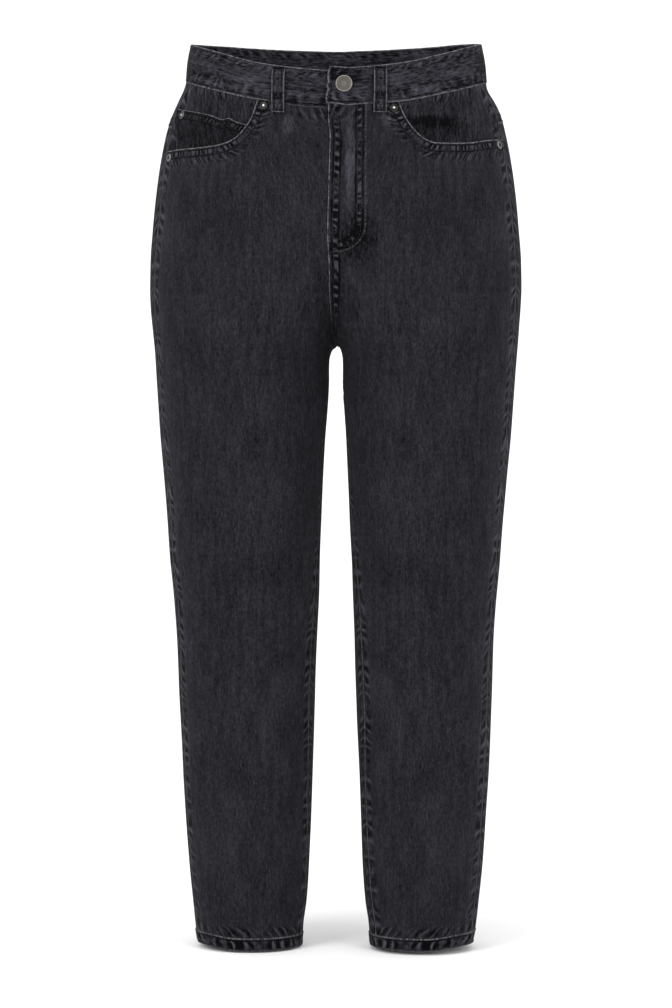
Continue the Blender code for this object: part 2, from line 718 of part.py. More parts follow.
def main():
    clear_scene()
    jeans = bpy.data.collections.new("mom_jeans")
    bpy.context.scene.collection.children.link(jeans)
    for side in (LEFT, RIGHT):
        add_front(side, jeans)
        add_back(side, jeans)
        add_yoke(side, jeans)
        add_facing(side, jeans)
        add_patch_pocket(side, jeans)
    add_coin_pocket(jeans)
    add_fly_shield(jeans)
    add_waistband(jeans)
    for loop in LOOPS:
        add_belt_loop(loop, jeans)
    add_button(jeans)
    for rivet in RIVETS:
        add_rivet(rivet, jeans)


main()
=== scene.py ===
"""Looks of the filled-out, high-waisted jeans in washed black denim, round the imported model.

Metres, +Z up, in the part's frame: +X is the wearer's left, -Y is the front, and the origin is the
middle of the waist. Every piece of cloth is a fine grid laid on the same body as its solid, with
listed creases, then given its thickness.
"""

from __future__ import annotations

import logging
import math
import random
from collections.abc import Iterable, Sequence
from dataclasses import dataclass, field
from enum import Enum, IntEnum
from typing import NamedTuple

import bmesh
import bpy
import numpy as np
from mathutils import Matrix, Vector, noise
from mathutils.bvhtree import BVHTree


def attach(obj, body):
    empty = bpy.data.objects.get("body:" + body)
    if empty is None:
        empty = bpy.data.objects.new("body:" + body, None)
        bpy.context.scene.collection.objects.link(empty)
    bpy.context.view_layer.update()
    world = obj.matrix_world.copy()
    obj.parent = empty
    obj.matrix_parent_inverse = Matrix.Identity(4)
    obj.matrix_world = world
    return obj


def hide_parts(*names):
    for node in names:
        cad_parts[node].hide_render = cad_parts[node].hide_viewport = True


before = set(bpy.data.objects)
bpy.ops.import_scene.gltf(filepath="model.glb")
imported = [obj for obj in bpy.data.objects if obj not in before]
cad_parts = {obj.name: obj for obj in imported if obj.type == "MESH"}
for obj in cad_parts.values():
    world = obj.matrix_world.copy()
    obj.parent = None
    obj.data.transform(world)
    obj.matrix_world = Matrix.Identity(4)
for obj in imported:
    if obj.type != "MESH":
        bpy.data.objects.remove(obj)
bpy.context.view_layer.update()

log = logging.getLogger("jeans")
Array = np.ndarray
Colour = tuple[float, float, float]

# Levels of the garment
CROTCH_Z = -0.294
ARCH_HALF = 0.0026
HEM_Z = -0.9228
BAND_HEIGHT = 0.0386
LEVEL_ROWS_FROM_Z = -0.150
GRAIN_LINE_X = 0.090

# Cloth
DENIM = 0.0012
SEAM_GAP = 0.0003
SEAM_JOIN = 0.00002
BAND_THICKNESS = 0.0028
BAND_OUT = 0.0008
BAND_TUCK = 0.0009
HEM_FOLD = 0.014
HEM_THICKNESS = 0.0026
HEM_OUT = 0.0006

# Where the real pair is not quite even
RIGHT_LEG_WIDER = 0.0022
RIGHT_HIP_WIDER = 0.0014
HEM_RISE_LEFT = 0.0028
HEM_RISE_RIGHT = 0.0007
HEM_RISE_OUTER = 0.0034
HEM_RISE_REACH = 0.10
LEAN_REACH = 0.040
FREE_END_LIFT_RIM = 0.0024
FREE_END_LIFT_SEAM = 0.0046
FREE_END_LIFT_DEG = 6.0

# The waistband's buttoned ends, and the fly under them
BAND_OVERLAP_DEG = 11.0
BAND_EASE_DEG = 24.0
BAND_LIFT = 0.0014
BAND_DROP = 0.0022
FLY_WIDTH = 0.038
FLY_EASE = 0.008
FLY_LIFT = 0.0010
FLY_BOTTOM_Z = -0.208
SHIELD_LEFT_X = 0.034
SHIELD_RIGHT_X = -0.008

# The fly's outer stitch line, straight down and then curved in
FLY_STITCH_X = FLY_WIDTH - 0.0005
FLY_STITCH_TOP_Z = -0.050
FLY_STITCH_TURN_Z = -0.178
FLY_STITCH_LOW_Z = -0.2055
FLY_STITCH_DROP = 0.0275
FLY_STITCH_END_X = 0.008
FLY_STITCH_SWEEP = 0.0295
FLY_STITCH_STEPS = 30
FLY_TURN_SIZE = 0.03

# Pieces inside the front pockets
MOUTH_START_X = 0.0715
FACING_INNER_X = 0.056
FACING_LOW_Z = -0.1240
FACING_SINK = 0.0026
COIN_THICKNESS = 0.0010
COIN_LOW_Z = -0.1090
COIN_OUTER_X = 0.1620
COIN_OUTER_Z = -0.0492
COIN_INNER_X = 0.0820
COIN_INNER_Z = -0.0750

# Back yoke and patch pockets
YOKE_SIDE_HEIGHT = 0.045
YOKE_BACK_HEIGHT = 0.072
PATCH_TOP_BELOW_YOKE = 0.016
PATCH_TOP_WIDTH = 0.138
PATCH_LOW_WIDTH = 0.122
PATCH_SIDE_HEIGHT = 0.130
PATCH_POINT_HEIGHT = 0.148
PATCH_MIDDLE_DEG = 58.0
PATCH_MIDDLE_X = 0.102

# Belt loops
LOOP_WIDTH = 0.0132
LOOP_THICKNESS = 0.0018
LOOP_STAND_OFF = 0.0018
LOOP_PAD = 0.006
LOOP_BELOW_SEAM = 0.0080
LOOP_UNDER_RIM = 0.0022

# Metal
BUTTON_RADIUS = 0.0087
BUTTON_HEIGHT = 0.0036
BUTTON_X = 0.0153
BUTTON_Z = -0.0350
RIVET_RADIUS = 0.0042
RIVET_HEIGHT = 0.0017

# Thread
STITCH_PITCH = 0.0034
STITCH_LENGTH = 0.0027
THREAD_RADIUS = 0.00030
TWIN_ROWS = (0.0022, 0.0085)
EDGE_ROW = 0.0022
OPENING_ROWS = (0.0120, 0.0180)
RISE_ROW = 0.0055
HEM_ROW = 0.0122
FLY_INSETS = (0.0, 0.0060)
TACK_PITCH = 0.0011
TACK_LENGTH = 0.0014
BUTTONHOLE_X = (0.010, 0.0345)
BUTTONHOLE_PITCH = 0.0008
BUTTONHOLE_EDGES = (0.0006, 0.0028)
BUTTONHOLE_STITCH = (0.003, 0.0024)

# Puckers and dents beside the seams
PUCKER_REACH = 0.005
SEAM_DENT = 0.00045
SEAM_DENT_REACH = 0.0016

# The photograph's camera
CAMERA_DISTANCE = 2.6
CAMERA_AZIMUTH_DEG = 4.3
CAMERA_Z = -0.460
CAMERA_FOV_DEG = 23.0
FLOOR_Z = -0.9240

# How far from a place the cloth under it is looked for, and the greatest distance from a line
REACH = 0.012
STITCH_REACH = 0.006
LINE_REACH = 0.06


class Side(IntEnum):
    """The wearer's side, as the sign of X."""

    LEFT = 1
    RIGHT = -1

    @property
    def word(self) -> str:
        """The side in the names of pieces."""
        return self.name.lower()


class Face(IntEnum):
    """Front or back, as the sign of Y."""

    FRONT = -1
    BACK = 1


class Section(NamedTuple):
    """One level of the body: half widths to a leg's outer and inner side, depths, and squareness."""

    z: float
    outer: float
    inner: float
    front: float
    back: float
    square: float


class Seam(NamedTuple):
    """How far forward of a leg's widest points the seams run at a level, in degrees."""

    z: float
    side_left: float
    side_right: float
    inseam_left: float
    inseam_right: float


class Rim(NamedTuple):
    """Height of the waistband's upper edge, by degrees round the waist from the front."""

    degrees: float
    z: float


class Mouth(NamedTuple):
    """Height of the scooped pocket edges, by distance from the middle of the body."""

    x: float
    left: float
    right: float


class Lean(NamedTuple):
    """How much higher the worn waistband sits than the level one, x across the jeans."""

    x: float
    rim: float
    seam: float


class Sway(NamedTuple):
    """How far the fly's free edge strays to the wearer's left at a level."""

    z: float
    x: float


class Fold(NamedTuple):
    """A soft ridge or trough: its middle, slope in degrees, half length, half width and height."""

    side: Side
    face: Face
    x: float
    z: float
    slope: float
    length: float
    width: float
    height: float


class Crease(NamedTuple):
    """A finer crease between two places, with soft shoulders. Its height is negative for a trough."""

    side: Side
    face: Face
    start_x: float
    start_z: float
    end_x: float
    end_z: float
    width: float
    height: float
    bend: float


class Loop(NamedTuple):
    """A belt loop's place, by distance from the middle of the body."""

    name: str
    side: Side
    face: Face
    x: float


class Rivet(NamedTuple):
    """A rivet's place, by distance from the middle of the body, and the piece under it."""

    name: str
    side: Side
    x: float
    z: float
    on: str


SECTIONS = (
    Section(0.0400, 0.1502, -0.1502, 0.0860, 0.0900, 2.15),
    Section(0.0200, 0.1523, -0.1523, 0.0880, 0.0920, 2.15),
    Section(0.0000, 0.1562, -0.1562, 0.0900, 0.0950, 2.15),
    Section(-0.0190, 0.1580, -0.1580, 0.0920, 0.0985, 2.15),
    Section(-0.0400, 0.1670, -0.1670, 0.0940, 0.1030, 2.15),
    Section(-0.0570, 0.1736, -0.1736, 0.0955, 0.1075, 2.15),
    Section(-0.0880, 0.1808, -0.1808, 0.0980, 0.1140, 2.20),
    Section(-0.1200, 0.1860, -0.1860, 0.1000, 0.1200, 2.20),
    Section(-0.1500, 0.1895, -0.1880, 0.1020, 0.1250, 2.20),
    Section(-0.1740, 0.1916, -0.1600, 0.1030, 0.1280, 2.20),
    Section(-0.2040, 0.1937, -0.1150, 0.1035, 0.1300, 2.20),
    Section(-0.2340, 0.1942, -0.0700, 0.1030, 0.1290, 2.20),
    Section(-0.2540, 0.1934, -0.0400, 0.1020, 0.1260, 2.20),
    Section(-0.2740, 0.1920, -0.0140, 0.1005, 0.1215, 2.18),
    Section(-0.2890, 0.1910, -0.0034, 0.0990, 0.1170, 2.16),
    Section(CROTCH_Z, 0.1906, 0.0000, 0.0985, 0.1155, 2.15),
    Section(-0.2990, 0.1902, 0.0034, 0.0980, 0.1140, 2.15),
    Section(-0.3090, 0.1895, 0.0060, 0.0970, 0.1112, 2.15),
    Section(-0.3300, 0.1880, 0.0075, 0.0950, 0.1052, 2.15),
    Section(-0.3507, 0.1864, 0.0085, 0.0930, 0.1000, 2.15),
    Section(-0.3927, 0.1832, 0.0115, 0.0900, 0.0920, 2.15),
    Section(-0.4347, 0.1792, 0.0136, 0.0860, 0.0865, 2.15),
    Section(-0.4767, 0.1756, 0.0152, 0.0815, 0.0815, 2.15),
    Section(-0.5187, 0.1724, 0.0172, 0.0765, 0.0765, 2.15),
    Section(-0.5607, 0.1683, 0.0184, 0.0720, 0.0730, 2.15),
    Section(-0.6027, 0.1654, 0.0200, 0.0690, 0.0715, 2.15),
    Section(-0.6657, 0.1627, 0.0220, 0.0655, 0.0705, 2.15),
    Section(-0.7287, 0.1600, 0.0242, 0.0625, 0.0680, 2.15),
    Section(-0.7707, 0.1575, 0.0257, 0.0600, 0.0645, 2.15),
    Section(-0.8337, 0.1533, 0.0284, 0.0560, 0.0590, 2.10),
    Section(-0.8757, 0.1494, 0.0312, 0.0530, 0.0545, 2.10),
    Section(-0.9000, 0.1471, 0.0345, 0.0505, 0.0520, 2.10),
    Section(HEM_Z, 0.1438, 0.0362, 0.0485, 0.0500, 2.10),
)

SEAMS = (
    Seam(0.0400, 14.0, 17.0, 0.0, 0.0),
    Seam(-0.2000, 16.0, 21.0, 0.0, 0.0),
    Seam(CROTCH_Z, 19.0, 25.0, 0.0, 0.0),
    Seam(-0.3500, 19.0, 24.0, 8.0, 3.0),
    Seam(-0.4700, 19.0, 26.0, 17.0, 6.0),
    Seam(-0.5800, 19.0, 25.0, 29.0, 16.0),
    Seam(-0.6600, 20.0, 23.0, 32.0, 20.0),
    Seam(-0.7700, 20.0, 22.0, 28.0, 15.0),
    Seam(-0.8500, 20.0, 21.0, 31.0, 12.0),
    Seam(HEM_Z, 20.0, 20.0, 33.0, 10.0),
)

RIM = (
    Rim(0.0, -0.0190),
    Rim(13.0, -0.0157),
    Rim(21.0, -0.0130),
    Rim(31.0, -0.0078),
    Rim(45.0, 0.0016),
    Rim(70.0, 0.0153),
    Rim(90.0, 0.0228),
    Rim(110.0, 0.0286),
    Rim(132.0, 0.0319),
    Rim(155.0, 0.0325),
    Rim(180.0, 0.0318),
)

WAIST_LEAN = (
    Lean(-0.160, 0.0020, 0.0002),
    Lean(-0.130, 0.0020, 0.0012),
    Lean(-0.100, 0.0017, 0.0020),
    Lean(-0.075, 0.0008, 0.0018),
    Lean(-0.050, 0.0002, 0.0000),
    Lean(-0.030, -0.0003, -0.0018),
    Lean(0.000, -0.0011, -0.0021),
    Lean(0.018, -0.0006, -0.0010),
    Lean(0.045, -0.0010, -0.0012),
    Lean(0.070, -0.0012, -0.0020),
    Lean(0.100, -0.0018, -0.0027),
    Lean(0.125, -0.0021, -0.0040),
    Lean(0.160, -0.0020, -0.0055),
)

MOUTH = (
    Mouth(MOUTH_START_X, -0.0510, -0.0440),
    Mouth(0.0740, -0.0585, -0.0510),
    Mouth(0.0805, -0.0718, -0.0680),
    Mouth(0.0880, -0.0824, -0.0778),
    Mouth(0.0980, -0.0905, -0.0868),
    Mouth(0.1080, -0.0936, -0.0913),
    Mouth(0.1210, -0.0934, -0.0937),
    Mouth(0.1400, -0.0920, -0.0944),
    Mouth(0.1600, -0.0872, -0.0938),
    Mouth(0.1800, -0.0825, -0.0932),
)

FLY_SWAY = (
    Sway(-0.280, 0.0),
    Sway(-0.245, -0.0006),
    Sway(-0.219, 0.0),
    Sway(-0.186, -0.0010),
    Sway(-0.142, 0.0),
    Sway(-0.114, 0.0005),
    Sway(-0.089, 0.0012),
    Sway(-0.068, -0.0006),
    Sway(-0.040, -0.0006),
)

FOLDS = tuple(
    Fold(side, face, *numbers)
    for side, face, rows in (
        (Side.LEFT, Face.FRONT, (
            (0.070, -0.262, -28.0, 0.048, 0.0130, -0.0020),
            (0.110, -0.556, 6.0, 0.046, 0.0170, -0.0020),
        )),
        (Side.RIGHT, Face.FRONT, (
            (0.078, -0.268, 24.0, 0.044, 0.0130, -0.0020),
            (0.130, -0.548, -24.0, 0.036, 0.0160, -0.0022),
            (0.085, -0.606, -5.0, 0.048, 0.0170, -0.0018),
        )),
        (Side.LEFT, Face.BACK, (
            (0.070, -0.290, 22.0, 0.052, 0.0130, -0.0034),
            (0.095, -0.332, 15.0, 0.054, 0.0130, -0.0028),
            (0.096, -0.560, -9.0, 0.050, 0.0150, -0.0034),
            (0.088, -0.604, 10.0, 0.046, 0.0150, -0.0028),
        )),
        (Side.RIGHT, Face.BACK, (
            (0.074, -0.296, 20.0, 0.050, 0.0130, -0.0034),
            (0.092, -0.338, 17.0, 0.052, 0.0130, -0.0030),
            (0.090, -0.566, 8.0, 0.048, 0.0150, -0.0034),
            (0.100, -0.612, -10.0, 0.044, 0.0150, -0.0028),
        )),
    )
    for numbers in rows
)

# Finer creases: at the fly's foot, across the thighs, at the knees, and under the seat.
CREASES = tuple(
    Crease(side, face, *numbers)
    for side, face, rows in (
        (Side.LEFT, Face.FRONT, (
            (0.066, -0.236, 0.100, -0.252, 0.0040, -0.0009, 0.02),
            (0.012, -0.218, 0.026, -0.230, 0.0028, -0.0010, 0.0),
            (0.016, -0.166, 0.046, -0.176, 0.0045, -0.0009, 0.15),
            (0.014, -0.184, 0.054, -0.190, 0.0040, 0.0008, -0.12),
            (0.040, -0.170, 0.058, -0.196, 0.0036, -0.0008, 0.0),
            (0.020, -0.104, 0.022, -0.162, 0.0034, 0.0009, 0.08),
            (0.027, -0.078, 0.026, -0.150, 0.0030, -0.0008, -0.05),
            (0.046, -0.080, 0.044, -0.140, 0.0032, -0.0005, 0.06),
            (0.014, -0.252, 0.048, -0.268, 0.0050, -0.0008, 0.06),
            (0.022, -0.322, 0.074, -0.300, 0.0070, -0.0011, 0.05),
            (0.148, -0.256, 0.178, -0.246, 0.0060, -0.0008, 0.0),
            (0.060, -0.530, 0.104, -0.520, 0.0080, -0.0009, 0.08),
            (0.108, -0.590, 0.154, -0.604, 0.0090, -0.0011, 0.06),
            (0.052, -0.628, 0.090, -0.640, 0.0070, -0.0008, 0.05),
            (0.096, -0.812, 0.140, -0.822, 0.0070, -0.0008, 0.05),
            (0.046, -0.868, 0.078, -0.874, 0.0060, -0.0008, 0.04),
        )),
        (Side.RIGHT, Face.FRONT, (
            (0.094, -0.266, 0.068, -0.270, 0.0036, -0.0009, 0.05),
            (0.012, -0.214, 0.040, -0.226, 0.0046, -0.0006, 0.06),
            (0.010, -0.246, 0.052, -0.262, 0.0050, -0.0008, 0.08),
            (0.020, -0.318, 0.078, -0.306, 0.0070, -0.0010, 0.05),
            (0.150, -0.250, 0.176, -0.262, 0.0060, -0.0008, 0.0),
            (0.120, -0.520, 0.158, -0.538, 0.0080, -0.0012, 0.08),
            (0.060, -0.566, 0.110, -0.580, 0.0080, -0.0009, -0.08),
            (0.112, -0.640, 0.148, -0.628, 0.0080, -0.0009, 0.05),
            (0.050, -0.800, 0.084, -0.806, 0.0070, -0.0007, 0.06),
            (0.096, -0.872, 0.138, -0.866, 0.0060, -0.0008, 0.04),
        )),
        (Side.LEFT, Face.BACK, (
            (0.018, -0.262, 0.070, -0.240, 0.0060, -0.0012, 0.10),
            (0.026, -0.320, 0.080, -0.306, 0.0055, -0.0014, 0.08),
            (0.030, -0.360, 0.100, -0.352, 0.0070, -0.0012, 0.08),
            (0.120, -0.276, 0.168, -0.262, 0.0070, -0.0010, 0.05),
            (0.050, -0.540, 0.116, -0.530, 0.0070, -0.0013, 0.08),
            (0.070, -0.584, 0.140, -0.576, 0.0065, -0.0014, -0.08),
            (0.054, -0.640, 0.112, -0.632, 0.0080, -0.0011, 0.06),
            (0.060, -0.846, 0.122, -0.852, 0.0070, -0.0009, 0.05),
        )),
        (Side.RIGHT, Face.BACK, (
            (0.016, -0.268, 0.066, -0.248, 0.0060, -0.0012, 0.10),
            (0.024, -0.326, 0.084, -0.310, 0.0055, -0.0013, 0.08),
            (0.034, -0.372, 0.092, -0.358, 0.0070, -0.0011, 0.06),
            (0.118, -0.284, 0.170, -0.268, 0.0070, -0.0010, 0.05),
            (0.060, -0.536, 0.130, -0.546, 0.0070, -0.0013, 0.08),
            (0.044, -0.590, 0.106, -0.582, 0.0065, -0.0014, 0.08),
            (0.078, -0.644, 0.136, -0.652, 0.0080, -0.0011, 0.06),
            (0.058, -0.858, 0.112, -0.850, 0.0070, -0.0009, 0.05),
        )),
    )
    for numbers in rows
)

LOOPS = (
    Loop("belt_loop_front_left", Side.LEFT, Face.FRONT, 0.0515),
    Loop("belt_loop_front_right", Side.RIGHT, Face.FRONT, 0.0515),
    Loop("belt_loop_back_left", Side.LEFT, Face.BACK, 0.0880),
    Loop("belt_loop_back_right", Side.RIGHT, Face.BACK, 0.0880),
    Loop("belt_loop_back_middle", Side.LEFT, Face.BACK, 0.0),
)

RIVETS = (
    Rivet("rivet_top_left", Side.LEFT, 0.0655, -0.0575, "front_left"),
    Rivet("rivet_top_right", Side.RIGHT, 0.0665, -0.0568, "front_right"),
    Rivet("rivet_side_left", Side.LEFT, 0.1712, -0.0905, "front_left"),
    Rivet("rivet_side_right", Side.RIGHT, 0.1690, -0.1010, "front_right"),
    Rivet("rivet_coin", Side.RIGHT, 0.1560, -0.0572, "coin_pocket"),
)


def smoothstep(value: Array | float, low: float, high: float) -> Array:
    """0 below low, 1 above high, and a smooth rise between them."""
    share = np.clip((np.asarray(value, float) - low) / (high - low), 0.0, 1.0)
    return share * share * (3 - 2 * share)


def signed_power(value: Array, power: Array | float) -> Array:
    """The value's size to a power, with the value's sign."""
    return np.sign(value) * np.abs(value) ** power


def hump(value: Array, middle: float, width: float) -> Array:
    """A bell curve: 1 at the middle, and nearly 0 beyond twice the width."""
    return np.exp(-(((value - middle) / width) ** 2))


def length_of(vectors: Array) -> Array:
    """Lengths of vectors that lie along the last axis."""
    return np.linalg.norm(vectors, axis=-1)


def unit(vectors: Array) -> Array:
    """The vectors, each made one long."""
    return vectors / np.maximum(length_of(vectors), 1e-12)[..., None]


def arc_lengths(points: Array, axis: int) -> Array:
    """Distance travelled along one axis of a grid of points, from its first line.

    Args:
        points: A grid of points, with X, Y and Z along its last axis.
        axis: The axis to travel along.

    Returns:
        The distance at each point.
    """
    steps = length_of(np.diff(points, axis=axis))
    start = np.zeros_like(np.take(steps, [0], axis=axis))
    return np.cumsum(np.concatenate([start, steps], axis=axis), axis=axis)


class SmoothTable:
    """Curves through the columns of a table that never overshoot its rows."""

    def __init__(self, rows: Sequence[NamedTuple]) -> None:
        """Works out the slopes at the rows, whose first column is the key."""
        ordered = sorted(rows)
        self.keys = np.array([row[0] for row in ordered])
        names = ordered[0]._fields[1:]
        self.values = {name: np.array([getattr(row, name) for row in ordered]) for name in names}
        self.slopes = {name: self._slopes(values) for name, values in self.values.items()}

    def _slopes(self, values: Array) -> Array:
        """Slopes at the rows: level at each turning point."""
        rises = np.diff(values) / np.diff(self.keys)
        before, after = rises[:-1], rises[1:]
        same_way = before * after > 0
        total = np.where(same_way, before + after, 1.0)
        inner = np.where(same_way, 2 * before * after / total, 0.0)
        return np.concatenate([rises[:1], inner, rises[-1:]])

    def __call__(self, name: str, key: Array | float) -> Array:
        """The named column at each key."""
        key = np.clip(key, self.keys[0], self.keys[-1])
        at = np.minimum(np.searchsorted(self.keys[1:], key, side="left"), len(self.keys) - 2)
        span = self.keys[at + 1] - self.keys[at]
        share = (key - self.keys[at]) / span
        rest = 1 - share
        values, slopes = self.values[name], self.slopes[name]
        from_start = rest * rest * (values[at] * (1 + 2 * share) + slopes[at] * span * share)
        from_end = share * share * (values[at + 1] * (1 + 2 * rest) - slopes[at + 1] * span * rest)
        return from_start + from_end


def noise_at(points: Array, size: float, seed: float, stretch: Sequence[float] = (1, 1, 1)) -> Array:
    """Smooth noise between about -1 and 1 at each point.

    Args:
        points: Any grid of points, with X, Y and Z along its last axis.
        size: How far apart the noise's bumps lie.
        seed: A shift that gives other noise.
        stretch: How much longer the bumps are along each axis.

    Returns:
        One value for each point.
    """
    scaled = points.reshape(-1, 3) / (size * np.array(stretch)) + seed
    values = [noise.noise(Vector(point)) for point in scaled]
    return np.array(values).reshape(points.shape[:-1])


class Body:
    """The smooth body that every piece of cloth is laid on, and the relief that lifts it."""

    def __init__(self) -> None:
        """Makes the curves through the tables."""
        self.outline = SmoothTable(SECTIONS)
        self.seams = SmoothTable(SEAMS)
        self.rim = SmoothTable(RIM)
        self.mouth = SmoothTable(MOUTH)
        self.sway = SmoothTable(FLY_SWAY)
        self.lean = SmoothTable(WAIST_LEAN)

    def point(self, side: int, z: Array, degrees: Array) -> Array:
        """Points of the plain body.

        Args:
            side: The wearer's side.
            z: Height of each point.
            degrees: Angle of each point: 0 is a leg's outer side, -90 the front and 90 the back.

        Returns:
            The points.
        """
        outer, inner = self.outline("outer", z), self.outline("inner", z)
        power = 2 / self.outline("square", z)
        turn = np.radians(degrees)
        sine, cosine = np.sin(turn), np.cos(turn)
        depth = np.where(sine < 0, self.outline("front", z), self.outline("back", z))
        x = (outer + inner) / 2 + (outer - inner) / 2 * signed_power(cosine, power)
        arch = (1 - smoothstep(z, CROTCH_Z - 0.0022, CROTCH_Z)) * smoothstep(z, CROTCH_Z - 0.045, CROTCH_Z)
        x = x + ARCH_HALF * arch * np.maximum(0.0, -cosine) ** 24
        y = depth * signed_power(sine, power)
        if side == Side.RIGHT:
            wider = smoothstep(-z, 0.30, 0.54) - 0.5 * smoothstep(-z, 0.64, 0.74)
            x = x + RIGHT_LEG_WIDER * wider * np.maximum(0.0, cosine)
            hip = smoothstep(-z, 0.035, 0.075) * (1 - smoothstep(-z, 0.25, 0.31))
            x = x + RIGHT_HIP_WIDER * hip * np.maximum(0.0, cosine)
        rise = HEM_RISE_LEFT if side == Side.LEFT else HEM_RISE_RIGHT
        rise = rise + HEM_RISE_OUTER * smoothstep(cosine, 0.1, 0.8)
        rise = rise * (1 - smoothstep(z, HEM_Z, HEM_Z + HEM_RISE_REACH))
        below = self.rim_z(degrees) - z
        share = np.clip(below / BAND_HEIGHT, 0.0, 1.0)
        lean = self.lean("rim", side * x) * (1 - share) + self.lean("seam", side * x) * share
        lean = lean * (1 - 0.6 * smoothstep(sine, -0.1, 0.6))
        lean = lean * (1 - smoothstep(below, BAND_HEIGHT, BAND_HEIGHT + LEAN_REACH))
        return np.stack(np.broadcast_arrays(side * x, y, z + rise + lean), axis=-1)

    def normal(self, side: int, z: Array, degrees: Array) -> Array:
        """Outward normals of the plain body."""
        step_z, step_degrees = 0.001, 0.5
        down = self.point(side, z - step_z, degrees) - self.point(side, z + step_z, degrees)
        ahead = self.point(side, z, degrees + step_degrees)
        round_leg = ahead - self.point(side, z, degrees - step_degrees)
        return unit(np.cross(down, round_leg) * side)

    def plain(self, side: int, z: Array, degrees: Array) -> tuple[Array, Array]:
        """Points and outward normals of the plain body."""
        return self.point(side, z, degrees), self.normal(side, z, degrees)

    def arc_per_degree(self, side: int, z: Array, degrees: Array) -> Array:
        """Distance moved round the body for one degree."""
        return length_of(self.point(side, z, degrees + 1) - self.point(side, z, degrees - 1)) / 2

    def degrees_at_x(self, z: Array, x: Array, face: int) -> Array:
        """The angle, on the front or the back, where the body is x from its middle."""
        middle = (self.outline("outer", z) + self.outline("inner", z)) / 2
        half = (self.outline("outer", z) - self.outline("inner", z)) / 2
        cosine = signed_power((x - middle) / half, self.outline("square", z) / 2)
        return face * np.degrees(np.arccos(np.clip(cosine, -1.0, 1.0)))

    def rim_z(self, degrees: Array) -> Array:
        """Height of the waistband's upper edge."""
        return self.rim("z", np.abs((np.asarray(degrees) + 270) % 360 - 180))

    def waist_seam_z(self, degrees: Array) -> Array:
        """Height of the waistband's lower edge."""
        return self.rim_z(degrees) - BAND_HEIGHT

    def yoke_z(self, degrees: Array) -> Array:
        """Height of the yoke's lower edge."""
        share = smoothstep(degrees, -15, 90)
        return self.waist_seam_z(degrees) - YOKE_SIDE_HEIGHT - (YOKE_BACK_HEIGHT - YOKE_SIDE_HEIGHT) * share

    def front_top_z(self, side: Side, degrees: Array) -> Array:
        """Top of a front panel: the waist seam, then the scooped pocket mouth.

        Args:
            side: The wearer's side.
            degrees: Angle of each place.

        Returns:
            Its height at each place.
        """
        top = self.waist_seam_z(degrees) + BAND_TUCK
        if side == Side.LEFT:
            top = top + FREE_END_LIFT_SEAM * (1 - smoothstep(degrees, -90, -90 + FREE_END_LIFT_DEG))
        z = top
        for _ in range(10):
            x = np.abs(self.point(side, z, degrees)[..., 0])
            scooped = np.minimum(top, self.mouth(side.word, x))
            z = np.where(x > MOUTH_START_X + 1e-6, scooped, top)
        return z

    def side_degrees(self, side: Side, z: Array, away: float = 0.0) -> Array:
        """The side seam, or a line a short distance in front of it."""
        turn = -self.seams("side_" + side.word, z)
        return turn - away / self.arc_per_degree(side, z, turn)

    def inner_degrees(self, side: Side, z: Array, face: Face) -> Array:
        """Where a panel ends: the rise seam, and the inseam under the crotch.

        Args:
            side: The wearer's side.
            z: Heights.
            face: Front or back panel.

        Returns:
            The angle at each height.
        """
        sway = side * self.sway("x", z) if face == Face.FRONT else 0.0
        cut = self.degrees_at_x(z, SEAM_JOIN + sway, Face.BACK)
        turn = 180 + face * self.seams("inseam_" + side.word, z)
        seam = turn - SEAM_JOIN / self.arc_per_degree(side, z, face * turn)
        return face * np.where(self.outline("inner", z) < SEAM_JOIN, cut, seam)

    def fold_height(self, side: Side, points: Array) -> Array:
        """How far the large folds lift the cloth."""
        total = np.zeros(points.shape[:-1])
        x, y, z = np.abs(points[..., 0]), points[..., 1], points[..., 2]
        for fold in FOLDS:
            if fold.side != side:
                continue
            slope = math.radians(fold.slope)
            along = (x - fold.x) * math.cos(slope) + (z - fold.z) * math.sin(slope)
            across = (z - fold.z) * math.cos(slope) - (x - fold.x) * math.sin(slope)
            bump = np.exp(-((along / fold.length) ** 2) - (across / fold.width) ** 2)
            total += np.where(fold.face * y < 0, 0.0, fold.height * bump)
        return total * smoothstep(np.abs(y), 0.01, 0.04)

    def crease_height(self, side: Side, points: Array) -> Array:
        """How far the finer creases lift the cloth."""
        total = np.zeros(points.shape[:-1])
        x, y, z = np.abs(points[..., 0]), points[..., 1], points[..., 2]
        for crease in CREASES:
            if crease.side != side:
                continue
            run = np.array([crease.end_x - crease.start_x, crease.end_z - crease.start_z])
            half = np.linalg.norm(run) / 2
            run /= 2 * half
            from_x = x - (crease.start_x + crease.end_x) / 2
            from_z = z - (crease.start_z + crease.end_z) / 2
            along = (from_x * run[0] + from_z * run[1]) / half
            across = from_z * run[0] - from_x * run[1] + crease.bend * half * (along**2 - 0.5)
            across = across / (crease.width * (1 + 0.25 * along))
            valley = np.exp(-(across**2)) - 0.42 * np.exp(-((np.abs(across) - 1.9) ** 2) / 0.8)
            bump = valley * np.exp(-(np.abs(along) ** 2.6) * 0.9)
            total += np.where(crease.face * y < 0, 0.0, crease.height * bump)
        return total * smoothstep(np.abs(y), 0.006, 0.03)

    def fly_height(self, side: Side, points: Array) -> Array:
        """How far the doubled fly lifts the left front."""
        if side != Side.LEFT:
            return np.zeros(points.shape[:-1])
        across = 1 - smoothstep(points[..., 0], FLY_WIDTH, FLY_WIDTH + FLY_EASE)
        down = smoothstep(points[..., 2], FLY_BOTTOM_Z - FLY_EASE, FLY_BOTTOM_Z + FLY_EASE)
        return np.where(points[..., 1] > 0, 0.0, FLY_LIFT * across * down)

